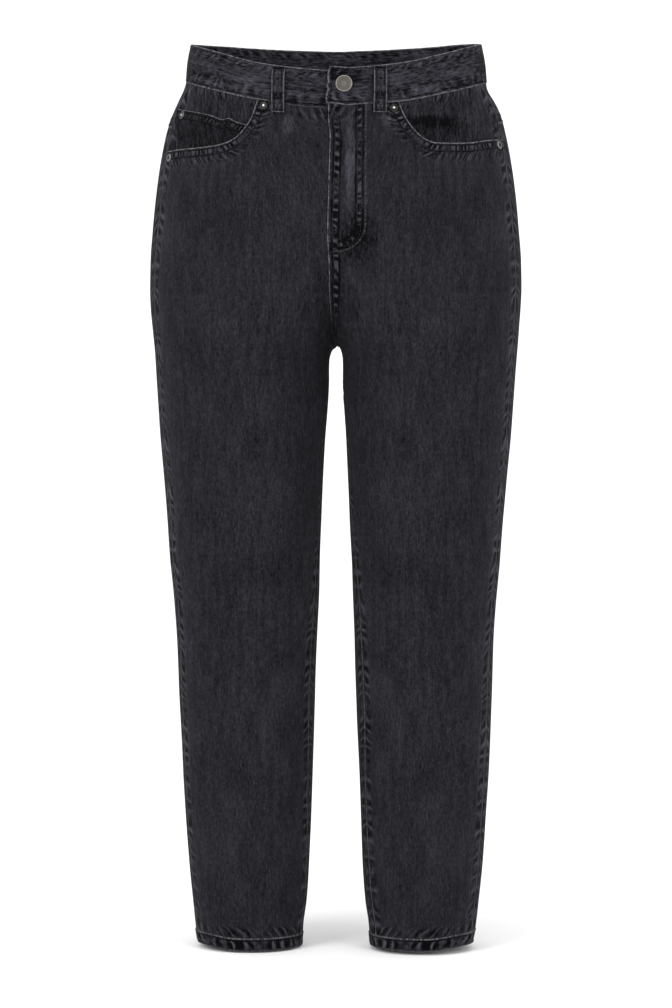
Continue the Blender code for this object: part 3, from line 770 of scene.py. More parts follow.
    def slack(self, side: Side, points: Array) -> Array:
        """The cloth's gentle unevenness, calm at the waist and looser down the legs."""
        wide = noise_at(points, 0.085, 7.3 + 2 * side, (1, 1, 1.5))
        small = noise_at(points, 0.028, 3.1 + side, (1, 1, 1.7))
        loose = 0.35 + 0.65 * smoothstep(-points[..., 2], 0.10, 0.34)
        return (0.0010 * wide + 0.00030 * small) * loose

    def lift(self, side: Side, points: Array) -> Array:
        """All of the relief that every layer at a place shares."""
        total = self.fold_height(side, points) + self.crease_height(side, points)
        return total + self.fly_height(side, points) + self.slack(side, points)

    def laid(self, side: Side, z: Array, degrees: Array, out: Array | float = 0.0) -> tuple[Array, Array]:
        """Lays cloth on the body.

        Args:
            side: The wearer's side.
            z: Height of each point.
            degrees: Angle of each point.
            out: How far each point stands out from the folded body.

        Returns:
            The points and the plain body's normals there.
        """
        z, degrees = np.broadcast_arrays(z, degrees)
        points, normals = self.plain(side, z, degrees)
        return points + normals * (self.lift(side, points) + out)[..., None], normals


BODY = Body()


@dataclass
class Panel:
    """A grid of points that becomes one piece of cloth.

    Args:
        name: The piece's name.
        points: Rows and columns of points, from the top row down.
        normals: Outward normals of the body under them.
        maps: Named UV maps in metres, as grids of pairs.
        flip: Whether the grid faces inwards as it is made.
        thickness: The cloth's thickness.
        thin: Share of that thickness at each point.
    """

    name: str
    points: Array
    normals: Array
    maps: dict[str, Array]
    flip: bool = False
    thickness: float = DENIM
    thin: Array | None = None

    @property
    def rows(self) -> int:
        """Quads from top to bottom."""
        return self.points.shape[0] - 1

    @property
    def columns(self) -> int:
        """Quads from side to side."""
        return self.points.shape[1] - 1

    def raise_by(self, height: Array) -> None:
        """Moves the points along the normals."""
        self.points = self.points + self.normals * height[..., None]

    def tree(self) -> BVHTree:
        """The outer face, for other pieces to lie on."""
        count = self.columns + 1
        start = (np.arange(self.rows)[:, None] * count + np.arange(self.columns)[None, :]).ravel()
        quads = np.stack([start, start + 1, start + 1 + count, start + count], axis=1)
        return BVHTree.FromPolygons(self.points.reshape(-1, 3).tolist(), quads.tolist())

    def build(
        self, materials: Sequence[bpy.types.Material], edge: float, segments: int = 2
    ) -> bpy.types.Object:
        """Makes the object, with its thickness and its soft edges.

        Args:
            materials: The outside finish, and the inside finish if it differs.
            edge: Radius of the soft edges.
            segments: Faces across a soft edge.

        Returns:
            The finished object, riding on the body.
        """
        form = bmesh.new()
        bmesh.ops.create_grid(form, x_segments=self.columns, y_segments=self.rows, size=0.5)
        if self.flip:
            bmesh.ops.reverse_faces(form, faces=form.faces)
        mesh = bpy.data.meshes.new(self.name)
        form.to_mesh(mesh)
        form.free()
        places = np.empty(len(mesh.vertices) * 3)
        mesh.vertices.foreach_get("co", places)
        places = places.reshape(-1, 3)
        column = np.rint((places[:, 0] + 0.5) * self.columns).astype(int)
        row = np.rint((0.5 - places[:, 1]) * self.rows).astype(int)
        mesh.vertices.foreach_set("co", self.points[row, column].ravel())
        corners = np.empty(len(mesh.loops), int)
        mesh.loops.foreach_get("vertex_index", corners)
        for name, pairs in self.maps.items():
            layer = mesh.uv_layers.new(name=name)
            layer.data.foreach_set("uv", pairs[row, column][corners].ravel())
        for material in materials:
            mesh.materials.append(material)
        made = smooth_object(self.name, mesh)
        wall = made.modifiers.new("wall", "SOLIDIFY")
        wall.thickness = self.thickness
        wall.offset = -1.0
        wall.material_offset = len(materials) - 1
        if self.thin is not None:
            group = made.vertex_groups.new(name="thin")
            shares = self.thin[row, column]
            for share in np.unique(shares):
                group.add(np.flatnonzero(shares == share).tolist(), float(share), "REPLACE")
            wall.vertex_group = group.name
        soft = made.modifiers.new("soft_edges", "BEVEL")
        soft.width = edge
        soft.segments = segments
        soft.limit_method = "ANGLE"
        soft.angle_limit = math.radians(50)
        finish_piece(made)
        return made


def smooth_object(name: str, mesh: bpy.types.Mesh) -> bpy.types.Object:
    """Puts a mesh in the scene, shaded smooth."""
    mesh.shade_smooth()
    made = bpy.data.objects.new(name, mesh)
    bpy.context.scene.collection.objects.link(made)
    return made


def finish_piece(made: bpy.types.Object) -> None:
    """Makes a piece ride on the body."""
    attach(made, "root")
    log.info("built %s", made.name)


def pair_map(first: Array, second: Array) -> Array:
    """A UV map from two grids of distances."""
    return np.stack(np.broadcast_arrays(first, second), axis=-1)


def nearest_on(points: Array, line: Array, most: float = LINE_REACH) -> tuple[Array, Array]:
    """Distances from a line of points.

    Args:
        points: A grid of points.
        line: The line's points, in order.
        most: The largest distance that is worked out; further points get it.

    Returns:
        How far along the line each point's nearest place is, and how far away that place is.
    """
    flat = points.reshape(-1, 3)
    starts, steps = line[:-1], np.diff(line, axis=0)
    lengths = np.maximum(length_of(steps), 1e-9)
    travelled = np.concatenate([[0.0], np.cumsum(lengths)])[:-1]
    along, away = np.zeros(len(flat)), np.full(len(flat), most)
    for first in range(0, len(flat), 4096):
        some = flat[first : first + 4096, None, :] - starts[None]
        share = np.clip((some * steps[None]).sum(-1) / lengths**2, 0, 1)
        gaps = length_of(some - steps[None] * share[..., None])
        best = gaps.argmin(1)
        rows = np.arange(len(best))
        along[first : first + 4096] = travelled[best] + share[rows, best] * lengths[best]
        away[first : first + 4096] = np.minimum(gaps[rows, best], most)
    return along.reshape(points.shape[:-1]), away.reshape(points.shape[:-1])


def edge_map(points: Array, line: Array, most: float = LINE_REACH) -> Array:
    """A UV map of the distances along a line and from it."""
    return pair_map(*nearest_on(points, line, most))


def level_rows() -> Array:
    """Heights of the level rows of a leg: close together at the crotch and the hem."""
    stretches = (
        (LEVEL_ROWS_FROM_Z, -0.284, 0.0025),
        (-0.284, -0.306, 0.0008),
        (-0.306, -0.330, 0.0016),
        (-0.330, -0.900, 0.0027),
        (-0.900, HEM_Z, 0.0011),
    )
    rows = []
    for high, low, step in stretches:
        count = round((high - low) / step)
        rows.extend(high + (low - high) * (index + 1) / count for index in range(count))
    return np.array(rows)


def from_grain_line(arc: Array, points: Array) -> Array:
    """Distances round a leg, counted from its upright grain line.

    Args:
        arc: Distances along the rows, which start at a leg's inner edge.
        points: The same rows of points.

    Returns:
        The distances, negative inside the grain line.
    """
    away = np.abs(points[..., 0])
    starts = [np.interp(GRAIN_LINE_X, row, distances) for row, distances in zip(away, arc)]
    return arc - np.array(starts)[:, None]


def pucker_wave(along: Array, spacing: float, seed: float) -> Array:
    """Uneven waves along a seam, between about -1 and 1."""
    points = np.stack([along / spacing, np.full(along.shape, seed), np.zeros(along.shape)], axis=-1)
    return noise_at(points, 0.55, seed) * 1.6


@dataclass
class LegPanels:
    """The front and back panels of one leg, with the yoke over the back one."""

    side: Side
    columns: int = 92
    top_rows: int = 44
    mouth_columns: int = 56
    yoke_rows: int = 34
    panels: dict[str, Panel] = field(default_factory=dict)

    @property
    def ending(self) -> str:
        """The side's name at the end of a piece's name."""
        return "_" + self.side.word

    @property
    def first_mouth_column(self) -> int:
        """The column where the pocket mouth starts."""
        return self.columns - self.mouth_columns

    def leg_grid(self, top: Array, shares: Array, ends: str) -> tuple[Array, Array]:
        """Heights and angles of a leg panel's grid.

        Args:
            top: Height of each column's top.
            shares: Each column's place at the top, from 0 to 1.
            ends: The panel, "front" or "back".

        Returns:
            Heights and angles, by row and column.
        """
        spread = np.linspace(0, 1, self.top_rows + 1)[:, None]
        upper = top[None, :] + (LEVEL_ROWS_FROM_Z - top[None, :]) * spread
        lower = np.repeat(level_rows()[:, None], len(top), axis=1)
        z = np.concatenate([upper, lower])
        even = np.linspace(0, 1, len(top))
        share = shares + (even - shares) * smoothstep(-z, 0.16, 0.36)
        if ends == "front":
            start = BODY.inner_degrees(self.side, z, Face.FRONT)
            end = BODY.side_degrees(self.side, z, SEAM_JOIN)
        else:
            start = BODY.side_degrees(self.side, z, -SEAM_JOIN)
            end = BODY.inner_degrees(self.side, z, Face.BACK)
        return z, start + (end - start) * share

    def hem(self, z: Array, points: Array) -> tuple[Array, Array]:
        """How far the turned-up hem stands out, and the share of its thickness at each point."""
        turned = 1 - smoothstep(z, HEM_Z + HEM_FOLD - 0.0008, HEM_Z + HEM_FOLD)
        across = np.arctan2(points[..., 1], np.abs(points[..., 0]) - 0.09) * 0.055
        roping = pucker_wave(across + 0.45 * (z - HEM_Z), 0.011, 4.7 + self.side)
        middle = smoothstep(z, HEM_Z, HEM_Z + 0.003) * (1 - smoothstep(z, HEM_Z + 0.010, HEM_Z + 0.020))
        out = HEM_OUT * turned + 0.00055 * roping * middle
        return out, np.where(turned > 0.5, 1.0, DENIM / HEM_THICKNESS)

    def front(self) -> Panel:
        """The front panel, scooped out at the pocket."""
        side = self.side
        first = self.first_mouth_column
        inner_x = np.linspace(0.0, MOUTH_START_X, first + 1)[:-1]
        turn_at = np.full(self.columns + 1, -90.0)
        for _ in range(6):
            level = BODY.waist_seam_z(turn_at[:first]) - SEAM_GAP
            turn_at[:first] = BODY.degrees_at_x(level, inner_x, Face.FRONT)
        mouth_turn = turn_at[:1].copy()
        for _ in range(8):
            level = BODY.waist_seam_z(mouth_turn) - SEAM_GAP
            mouth_turn = BODY.degrees_at_x(level, np.array([MOUTH_START_X]), Face.FRONT)
        seam = float(BODY.side_degrees(side, BODY.waist_seam_z(-15.0), SEAM_JOIN))
        spread = np.linspace(0, 1, self.mouth_columns + 1) ** 1.45
        turn_at[first:] = mouth_turn + (seam - mouth_turn) * spread
        shares = (turn_at - turn_at[0]) / (seam - turn_at[0])
        z, degrees = self.leg_grid(BODY.front_top_z(side, turn_at), shares, "front")
        plain = BODY.point(side, z, degrees)
        out, thin = self.hem(z, plain)
        points, normals = BODY.laid(side, z, degrees, out)
        from_inner = arc_lengths(points, 1)
        from_side = from_inner[:, -1:] - from_inner
        maps = {
            "weave": pair_map(from_grain_line(from_inner, points), z),
            "sides": pair_map(from_side, from_inner),
            "top": edge_map(points, points[0]),
            "mouth": edge_map(points, points[0, first:], 0.04),
        }
        if side == Side.LEFT:
            maps["fly"] = self.fly_map(points)
        panel = Panel("denim_front" + self.ending, points, normals, maps, side < 0, HEM_THICKNESS, thin)
        self.shape_edges(panel, z)
        return panel

    def fly_map(self, points: Array) -> Array:
        """Distance along and away from the fly's curved stitching, negative towards the middle."""
        x, z = fly_curve()
        flat = points * np.array([1.0, 0.0, 1.0])
        along, away = nearest_on(flat, np.stack([x, np.zeros(len(x)), z], axis=-1), 0.05)
        inside = (points[..., 0] < np.interp(points[..., 2], z[::-1], x[::-1])) & (points[..., 2] > z[-1])
        facing_front = points[..., 1] < 0
        return pair_map(along, np.where(facing_front, np.where(inside, -away, away), 0.05))

    def shape_edges(self, panel: Panel, z: Array) -> None:
        """Pulls the cloth into puckers and dents beside the seams and the top edge."""
        from_side, from_inner = panel.maps["sides"][..., 0], panel.maps["sides"][..., 1]
        along_top, from_top = panel.maps["top"][..., 0], panel.maps["top"][..., 1]
        seed = 11.0 + 3 * self.side
        below = smoothstep(-z, -CROTCH_Z - 0.01, -CROTCH_Z + 0.02)
        height = 0.00028 * hump(from_side, 0.004, PUCKER_REACH) * pucker_wave(z, 0.010, seed)
        height -= SEAM_DENT * hump(from_side, 0.0, SEAM_DENT_REACH)
        height += 0.00034 * hump(from_inner, 0.004, PUCKER_REACH) * pucker_wave(z, 0.009, seed + 1) * below
        height -= SEAM_DENT * hump(from_inner, 0.0, SEAM_DENT_REACH) * below
        height += 0.00036 * hump(from_top, 0.006, PUCKER_REACH) * pucker_wave(along_top, 0.009, seed + 2)
        panel.raise_by(height * smoothstep(z - HEM_Z, 0.0, 0.03))

    def back(self) -> Panel:
        """The back panel, from the yoke down."""
        side = self.side
        shares = np.linspace(0, 1, self.columns + 1)
        turn = BODY.side_degrees(side, -0.06) * (1 - shares) + 90 * shares
        z, degrees = self.leg_grid(BODY.yoke_z(turn) - SEAM_GAP, shares, "back")
        plain = BODY.point(side, z, degrees)
        out, thin = self.hem(z, plain)
        points, normals = BODY.laid(side, z, degrees, out)
        from_side = arc_lengths(points, 1)
        from_inner = from_side[:, -1:] - from_side
        maps = {
            "weave": pair_map(from_grain_line(from_inner[:, ::-1], points[:, ::-1])[:, ::-1], z),
            "sides": pair_map(from_side, from_inner),
            "top": edge_map(points, points[0]),
        }
        panel = Panel("denim_back" + self.ending, points, normals, maps, side < 0, HEM_THICKNESS, thin)
        self.shape_edges(panel, z)
        return panel

    def yoke(self) -> Panel:
        """The shaped piece between the waistband and the back panel."""
        side = self.side
        share = np.linspace(0, 1, self.columns + 1)
        turn = BODY.side_degrees(side, -0.06) * (1 - share) + 90 * share
        top, low = BODY.waist_seam_z(turn) + BAND_TUCK, BODY.yoke_z(turn)
        z = top + (low - top) * np.linspace(0, 1, self.yoke_rows + 1)[:, None]
        start, end = BODY.side_degrees(side, z, -SEAM_JOIN), BODY.inner_degrees(side, z, Face.BACK)
        points, normals = BODY.laid(side, z, start + (end - start) * share)
        from_side = arc_lengths(points, 1)
        along_top, from_top = nearest_on(points, points[0])
        along_low, from_low = nearest_on(points, points[-1])
        maps = {
            "weave": pair_map(from_side, z),
            "sides": pair_map(from_side, from_side[:, -1:] - from_side),
            "top": pair_map(along_top, from_top),
            "low": pair_map(along_low, from_low),
        }
        panel = Panel("denim_yoke" + self.ending, points, normals, maps, side < 0)
        edge = hump(from_top, 0.006, 0.006) * pucker_wave(along_top, 0.010, 21 + side)
        lower = hump(from_low, 0.006, PUCKER_REACH) * pucker_wave(along_low, 0.009, 25 + side)
        rolled = hump(from_low, 0.0, 0.0022)
        panel.raise_by(0.00032 * edge + 0.00030 * lower + 0.00050 * rolled)
        return panel

    def build(self) -> None:
        """Makes the grids of this leg's panels."""
        self.panels["front" + self.ending] = self.front()
        self.panels["back" + self.ending] = self.back()
        self.panels["yoke" + self.ending] = self.yoke()


def fly_curve(inset: float = 0.0) -> tuple[Array, Array]:
    """A stitch line of the fly: straight down, then curved in to the middle.

    Args:
        inset: How far inside the outer line it runs.

    Returns:
        Its X and its Z.
    """
    turn = np.linspace(0, math.pi / 2, 16)[1:]
    curved_x = FLY_STITCH_END_X + FLY_STITCH_SWEEP * np.cos(turn)
    curved_z = FLY_STITCH_TURN_Z - FLY_STITCH_DROP * np.sin(turn)
    x = np.concatenate([np.full(FLY_STITCH_STEPS, FLY_STITCH_X), curved_x])
    z = np.concatenate([np.linspace(FLY_STITCH_TOP_Z, FLY_STITCH_TURN_Z, FLY_STITCH_STEPS), curved_z])
    inward = np.clip((z - FLY_STITCH_LOW_Z) / FLY_TURN_SIZE, 0, 1)
    upward = np.clip((FLY_WIDTH - 0.001 - x) / FLY_TURN_SIZE, 0, 1)
    return x - inset * inward, z + inset * upward


def facing_out(side: Side, z: Array, degrees: Array) -> Array:
    """Where the facing's outer face lies: flush at its seams and sunk inside the pocket mouth.

    Args:
        side: The wearer's side.
        z: Height of each point.
        degrees: Angle of each point.

    Returns:
        How far each point stands out from the folded body.
    """
    above_mouth = z - BODY.front_top_z(side, degrees)
    from_side = smoothstep(BODY.side_degrees(side, z) - degrees, 0.5, 8)
    at_seam = smoothstep(above_mouth, 0.0010, 0.0070) * (1 - from_side)
    flush = np.maximum(smoothstep(above_mouth, 0.012, 0.026), at_seam)
    from_waist = smoothstep(BODY.waist_seam_z(degrees) - z, 0.002, 0.022)
    return -(DENIM + 2 * SEAM_GAP) * (1 - flush) - FACING_SINK * from_side * from_waist


@dataclass
class FrontPockets:
    """The denim facings inside the two scooped pockets, and the coin pocket on the right one."""

    columns: int = 84
    rows: int = 56
    panels: dict[str, Panel] = field(default_factory=dict)

    def facing(self, side: Side) -> Panel:
        """The facing of one pocket."""
        share = np.linspace(0, 1, self.columns + 1)[None, :]
        down = np.linspace(0, 1, self.rows + 1)[:, None]
        top = np.broadcast_to(BODY.waist_seam_z(-60.0), (self.rows + 1, self.columns + 1))
        for _ in range(5):
            z = top + (FACING_LOW_Z - top) * down
            start = BODY.degrees_at_x(z, FACING_INNER_X, Face.FRONT)
            degrees = start + (BODY.side_degrees(side, z, SEAM_JOIN) - start) * share
            top = BODY.waist_seam_z(degrees) + BAND_TUCK
        out = facing_out(side, z, degrees)
        points, normals = BODY.laid(side, z, degrees, out)
        arc = arc_lengths(points, 1)
        along, away = nearest_on(points, points[0])
        maps = {
            "weave": pair_map(arc, z),
            "sides": pair_map(arc[:, -1:] - arc, arc),
            "top": pair_map(along, away),
        }
        panel = Panel("denim_facing_" + side.word, points, normals, maps, side < 0)
        gathers = pucker_wave(along + 0.25 * away, 0.0085, 31 + side) * np.exp(-away / 0.010)
        hollow = hump(z, -0.078, 0.007) * smoothstep(arc, 0.02, 0.05) * (side > 0)
        hollow = hollow * (1 - smoothstep(arc, 0.07, 0.10))
        panel.raise_by(-0.0002 + 0.00036 * gathers - 0.0012 * hollow)
        return panel

    def coin(self) -> Panel:
        """The small pocket, which runs in under the front panel."""
        share = np.linspace(0, 1, 68)[None, :]
        x = COIN_OUTER_X + (COIN_INNER_X - COIN_OUTER_X) * share
        dip = 0.0016 * hump(share, 0.62, 0.07) - 0.0016 * hump(share, 0.74, 0.05)
        top = COIN_OUTER_Z + (COIN_INNER_Z - COIN_OUTER_Z) * share - dip
        z = top + (COIN_LOW_Z - top) * np.linspace(0, 1, 44)[:, None]
        degrees = BODY.degrees_at_x(z, x, Face.FRONT)
        rest = facing_out(Side.RIGHT, z, degrees) + 1.5 * SEAM_GAP + COIN_THICKNESS
        points, normals = BODY.laid(Side.RIGHT, z, degrees, rest)
        arc = arc_lengths(points, 1)
        along, away = nearest_on(points, points[0])
        maps = {
            "weave": pair_map(arc, z),
            "sides": pair_map(arc, arc[:, -1:] - arc),
            "top": pair_map(along, away),
        }
        panel = Panel("denim_coin_pocket", points, normals, maps, False, COIN_THICKNESS)
        ripple = pucker_wave(along, 0.008, 41.0) * hump(away, 0.005, PUCKER_REACH)
        panel.raise_by(0.00025 + 0.00025 * ripple)
        return panel

    def build(self) -> None:
        """Makes the grids of the facings and the coin pocket."""
        for side in Side:
            self.panels["pocket_facing_" + side.word] = self.facing(side)
        self.panels["coin_pocket"] = self.coin()


def band_out(degrees: Array) -> Array:
    """How far the waistband stands out: its left end lies over its right end at the button."""
    over = BAND_LIFT * (1 - smoothstep(degrees, BAND_OVERLAP_DEG, BAND_OVERLAP_DEG + BAND_EASE_DEG))
    under = BAND_DROP * smoothstep(degrees, 360 - BAND_EASE_DEG, 360 - BAND_OVERLAP_DEG / 4)
    return BAND_OUT + over - under


@dataclass
class Waistband:
    """The strip all round the waist, which buttons at the front, with its belt loops."""

    columns: int = 520
    rows: int = 24
    loop_columns: int = 12
    loop_rows: int = 44
    panels: dict[str, Panel] = field(default_factory=dict)

    def band(self) -> Panel:
        """The waistband, from the middle of the front over the left side."""
        degrees = np.linspace(0, 360 + BAND_OVERLAP_DEG, self.columns + 1)[None, :]
        drop = BAND_HEIGHT * np.linspace(0, 1, self.rows + 1)[:, None]
        free_end = 1 - smoothstep(degrees, 0.0, 8.0)
        lean = 0.25 * pucker_wave(drop, 0.007, 57.0) - 0.85 * drop / BAND_HEIGHT
        turn = degrees - 90 + lean * free_end
        corner = 0.0009 * (1 - smoothstep(degrees, 0.0, 9.0)) * (1 - drop / BAND_HEIGHT)
        lift = FREE_END_LIFT_RIM + (FREE_END_LIFT_SEAM - FREE_END_LIFT_RIM) * drop / BAND_HEIGHT
        lift = lift * (1 - smoothstep(degrees, 0.0, FREE_END_LIFT_DEG))
        z = BODY.rim_z(turn) - drop + corner + lift
        plain, normals = BODY.plain(Side.LEFT, z, turn)
        arc = arc_lengths(plain, 1)
        soft = noise_at(plain, 0.030, 51.0, (1, 1, 0.7))
        edge = hump(BAND_HEIGHT - drop, 0.005, PUCKER_REACH) * pucker_wave(arc, 0.012, 53.0)
        upper = hump(drop, 0.004, 0.004) * pucker_wave(arc, 0.014, 55.0)
        rolled = -0.0004 * hump(drop, 0.0, 0.002) - 0.0004 * hump(BAND_HEIGHT - drop, 0.0, 0.002)
        height = band_out(degrees) + 0.00035 * soft + 0.00022 * edge + 0.00018 * upper + rolled
        points = plain + normals * height[..., None]
        maps = {"weave": pair_map(arc, -drop), "ends": pair_map(arc, arc[:, -1:] - arc)}
        return Panel("denim_waistband", points, normals, maps, False, BAND_THICKNESS)

    def loop(self, loop: Loop, under: Seats) -> Panel:
        """A strip sewn down at both ends, which stands clear of the waistband between them.

        Args:
            loop: Its place.
            under: The cloth that it is sewn to.

        Returns:
            The strip.
        """
        length = BAND_HEIGHT + LOOP_BELOW_SEAM
        rim = float(BODY.rim_z(BODY.degrees_at_x(float(BODY.rim_z(loop.face * 90)), loop.x, loop.face)))
        top = rim - LOOP_UNDER_RIM
        down = length * np.linspace(0, 1, self.loop_rows + 1)[:, None]
        across = LOOP_WIDTH * (np.linspace(0, 1, self.loop_columns + 1) - 0.5)[None, :]
        z, across = np.broadcast_arrays(top - down, across)
        turn = BODY.degrees_at_x(z, loop.x, loop.face)
        turn = turn + across / BODY.arc_per_degree(loop.side, z, turn)
        points, normals = BODY.plain(loop.side, z, turn)
        rest = under.heights(points, normals)
        level = np.maximum.accumulate(rest[::-1])[::-1]
        pad = np.minimum(down, length - down)
        clear = LOOP_STAND_OFF * smoothstep(pad, LOOP_PAD * 0.6, LOOP_PAD * 1.9)
        rolled = 0.00030 * hump(np.abs(across), LOOP_WIDTH * 0.36, 0.0012)
        out = level + clear + rolled + 1.5 * SEAM_GAP + LOOP_THICKNESS
        points = points + normals * out[..., None]
        maps = {
            "weave": pair_map(across, -np.broadcast_to(down, across.shape)),
            "ends": pair_map(LOOP_WIDTH / 2 - np.abs(across), np.broadcast_to(pad, across.shape)),
        }
        return Panel("denim_" + loop.name, points, normals, maps, loop.side < 0, LOOP_THICKNESS)


class Seats:
    """The outer faces that pieces lie on, found by casting rays at them."""

    def __init__(self, panels: Iterable[Panel]) -> None:
        """Makes a search tree of each panel."""
        self.trees = [panel.tree() for panel in panels]

    def height(self, point: Vector, normal: Vector, reach: float = REACH) -> float:
        """How far out from a point the highest face lies, or 0 where there is none."""
        hits = [tree.ray_cast(point + normal * reach, -normal, 2 * reach)[3] for tree in self.trees]
        heights = [reach - distance for distance in hits if distance is not None]
        return max(heights) if heights else 0.0

    def heights(self, points: Array, normals: Array) -> Array:
        """The same for a grid of points."""
        flat = zip(points.reshape(-1, 3), normals.reshape(-1, 3))
        found = [self.height(Vector(point), Vector(normal)) for point, normal in flat]
        return np.array(found).reshape(points.shape[:-1])


@dataclass
class PatchPockets:
    """The two plain pockets on the seat."""

    columns: int = 70
    rows: int = 72
    panels: dict[str, Panel] = field(default_factory=dict)

    def patch(self, side: Side, under: Seats) -> Panel:
        """One pocket: straight sides, a shallow point below and a folded opening above.

        Args:
            side: The wearer's side.
            under: The back panel that it is sewn to.

        Returns:
            The pocket.
        """
        across = np.linspace(-0.5, 0.5, self.columns + 1)[None, :]
        down = np.linspace(0, 1, self.rows + 1)[:, None]
        height = PATCH_POINT_HEIGHT + (PATCH_SIDE_HEIGHT - PATCH_POINT_HEIGHT) * np.abs(across) * 2
        z = float(BODY.yoke_z(PATCH_MIDDLE_DEG)) - PATCH_TOP_BELOW_YOKE - height * down
        width = PATCH_TOP_WIDTH + (PATCH_LOW_WIDTH - PATCH_TOP_WIDTH) * down
        middle = BODY.degrees_at_x(z, PATCH_MIDDLE_X, Face.BACK)
        turn = middle + across * width / BODY.arc_per_degree(side, z, middle)
        points, normals = BODY.plain(side, z, turn)
        rest = under.heights(points, normals)
        points = points + normals * (rest + SEAM_GAP + DENIM)[..., None]
        outline = np.concatenate([points[:, 0], points[-1, 1:], points[::-1, -1][1:]])
        along, away = nearest_on(points, outline)
        top_along, top_away = nearest_on(points, points[0])
        arc = arc_lengths(points, 1)
        maps = {
            "weave": pair_map(arc - arc[:, -1:] / 2, z),
            "edge": pair_map(along, away),
            "top": pair_map(top_along, top_away),
        }
        panel = Panel("denim_patch_pocket_" + side.word, points, normals, maps, side < 0)
        folded = 0.0006 * (1 - smoothstep(away, 0.008, 0.011))
        folded = folded + 0.0005 * (1 - smoothstep(top_away, 0.020, 0.022))
        puckers = 0.00028 * pucker_wave(along, 0.009, 61 + side) * hump(away, 0.006, PUCKER_REACH)
        bag = 0.0012 * smoothstep(away, 0.01, 0.05) * (0.6 + 0.4 * noise_at(points, 0.05, 65.0 + side))
        panel.raise_by(folded + puckers + bag)
        return panel


def fly_shield() -> Panel:
    """The strip behind the fly that closes it from the inside."""
    x = np.linspace(SHIELD_RIGHT_X, SHIELD_LEFT_X, 25)[None, :]
    top = float(BODY.waist_seam_z(-90.0)) - 2 * SEAM_GAP
    z = top + (FLY_BOTTOM_Z - top) * np.linspace(0, 1, 91)[:, None]
    z, x = np.broadcast_arrays(z, x)
    turn = BODY.degrees_at_x(z, np.abs(x), Face.FRONT)
    points, normals = BODY.plain(Side.LEFT, z, turn)
    across = np.sign(x)[..., None] * np.array([1.0, 0, 0]) + np.array([0, 1.0, 1.0])
    points, normals = points * across, normals * across
    lowest = np.minimum(0.0, BODY.crease_height(Side.LEFT, points) + BODY.slack(Side.LEFT, points))
    points = points + normals * (lowest - DENIM - 3 * SEAM_GAP)[..., None]
    return Panel("denim_fly_shield", points, normals, {"weave": pair_map(x, z)})


class Wire:
    """A shader node's output that takes part in sums."""

    def __init__(self, sheet: NodeSheet, socket: bpy.types.NodeSocket) -> None:
        """Keeps the output and the tree that it is in."""
        self.sheet = sheet
        self.socket = socket

    def math(self, operation: str, *others: Wire | float) -> Wire:
        """A Math node on this output and others."""
        inputs = dict(enumerate((self, *others)))
        return self.sheet.node("ShaderNodeMath", {"operation": operation}, inputs)

    def __add__(self, other: Wire | float) -> Wire:
        """Sum."""
        return self.math("ADD", other)

    def __sub__(self, other: Wire | float) -> Wire:
        """Difference."""
        return self.math("SUBTRACT", other)

    def __mul__(self, other: Wire | float) -> Wire:
        """Product."""
        return self.math("MULTIPLY", other)

    def __truediv__(self, other: Wire | float) -> Wire:
        """Quotient."""
        return self.math("DIVIDE", other)

    def __rsub__(self, other: float) -> Wire:
        """Difference from a number."""
        return self.sheet.node("ShaderNodeMath", {"operation": "SUBTRACT"}, {0: other, 1: self})

    __radd__ = __add__
    __rmul__ = __mul__

    def step(self, low: float, high: float) -> Wire:
        """0 below low, 1 above high and a smooth rise between, or the reverse if low is higher."""
        settings = {"interpolation_type": "SMOOTHSTEP"}
        if low < high:
            return self.sheet.node("ShaderNodeMapRange", settings, {0: self, 1: low, 2: high})
        return self.sheet.node("ShaderNodeMapRange", settings, {0: self, 1: high, 2: low, 3: 1.0, 4: 0.0})

    def ramp(self, low: float, high: float) -> Wire:
        """0 below low, 1 above high, and a straight rise between them."""
        return self.sheet.node("ShaderNodeMapRange", None, {0: self, 1: low, 2: high})

    def band(self, middle: float, width: float) -> Wire:
        """1 at a value and 0 beyond a distance from it, on both sides."""
        return (self - middle).math("ABSOLUTE").step(width, width * 0.2)


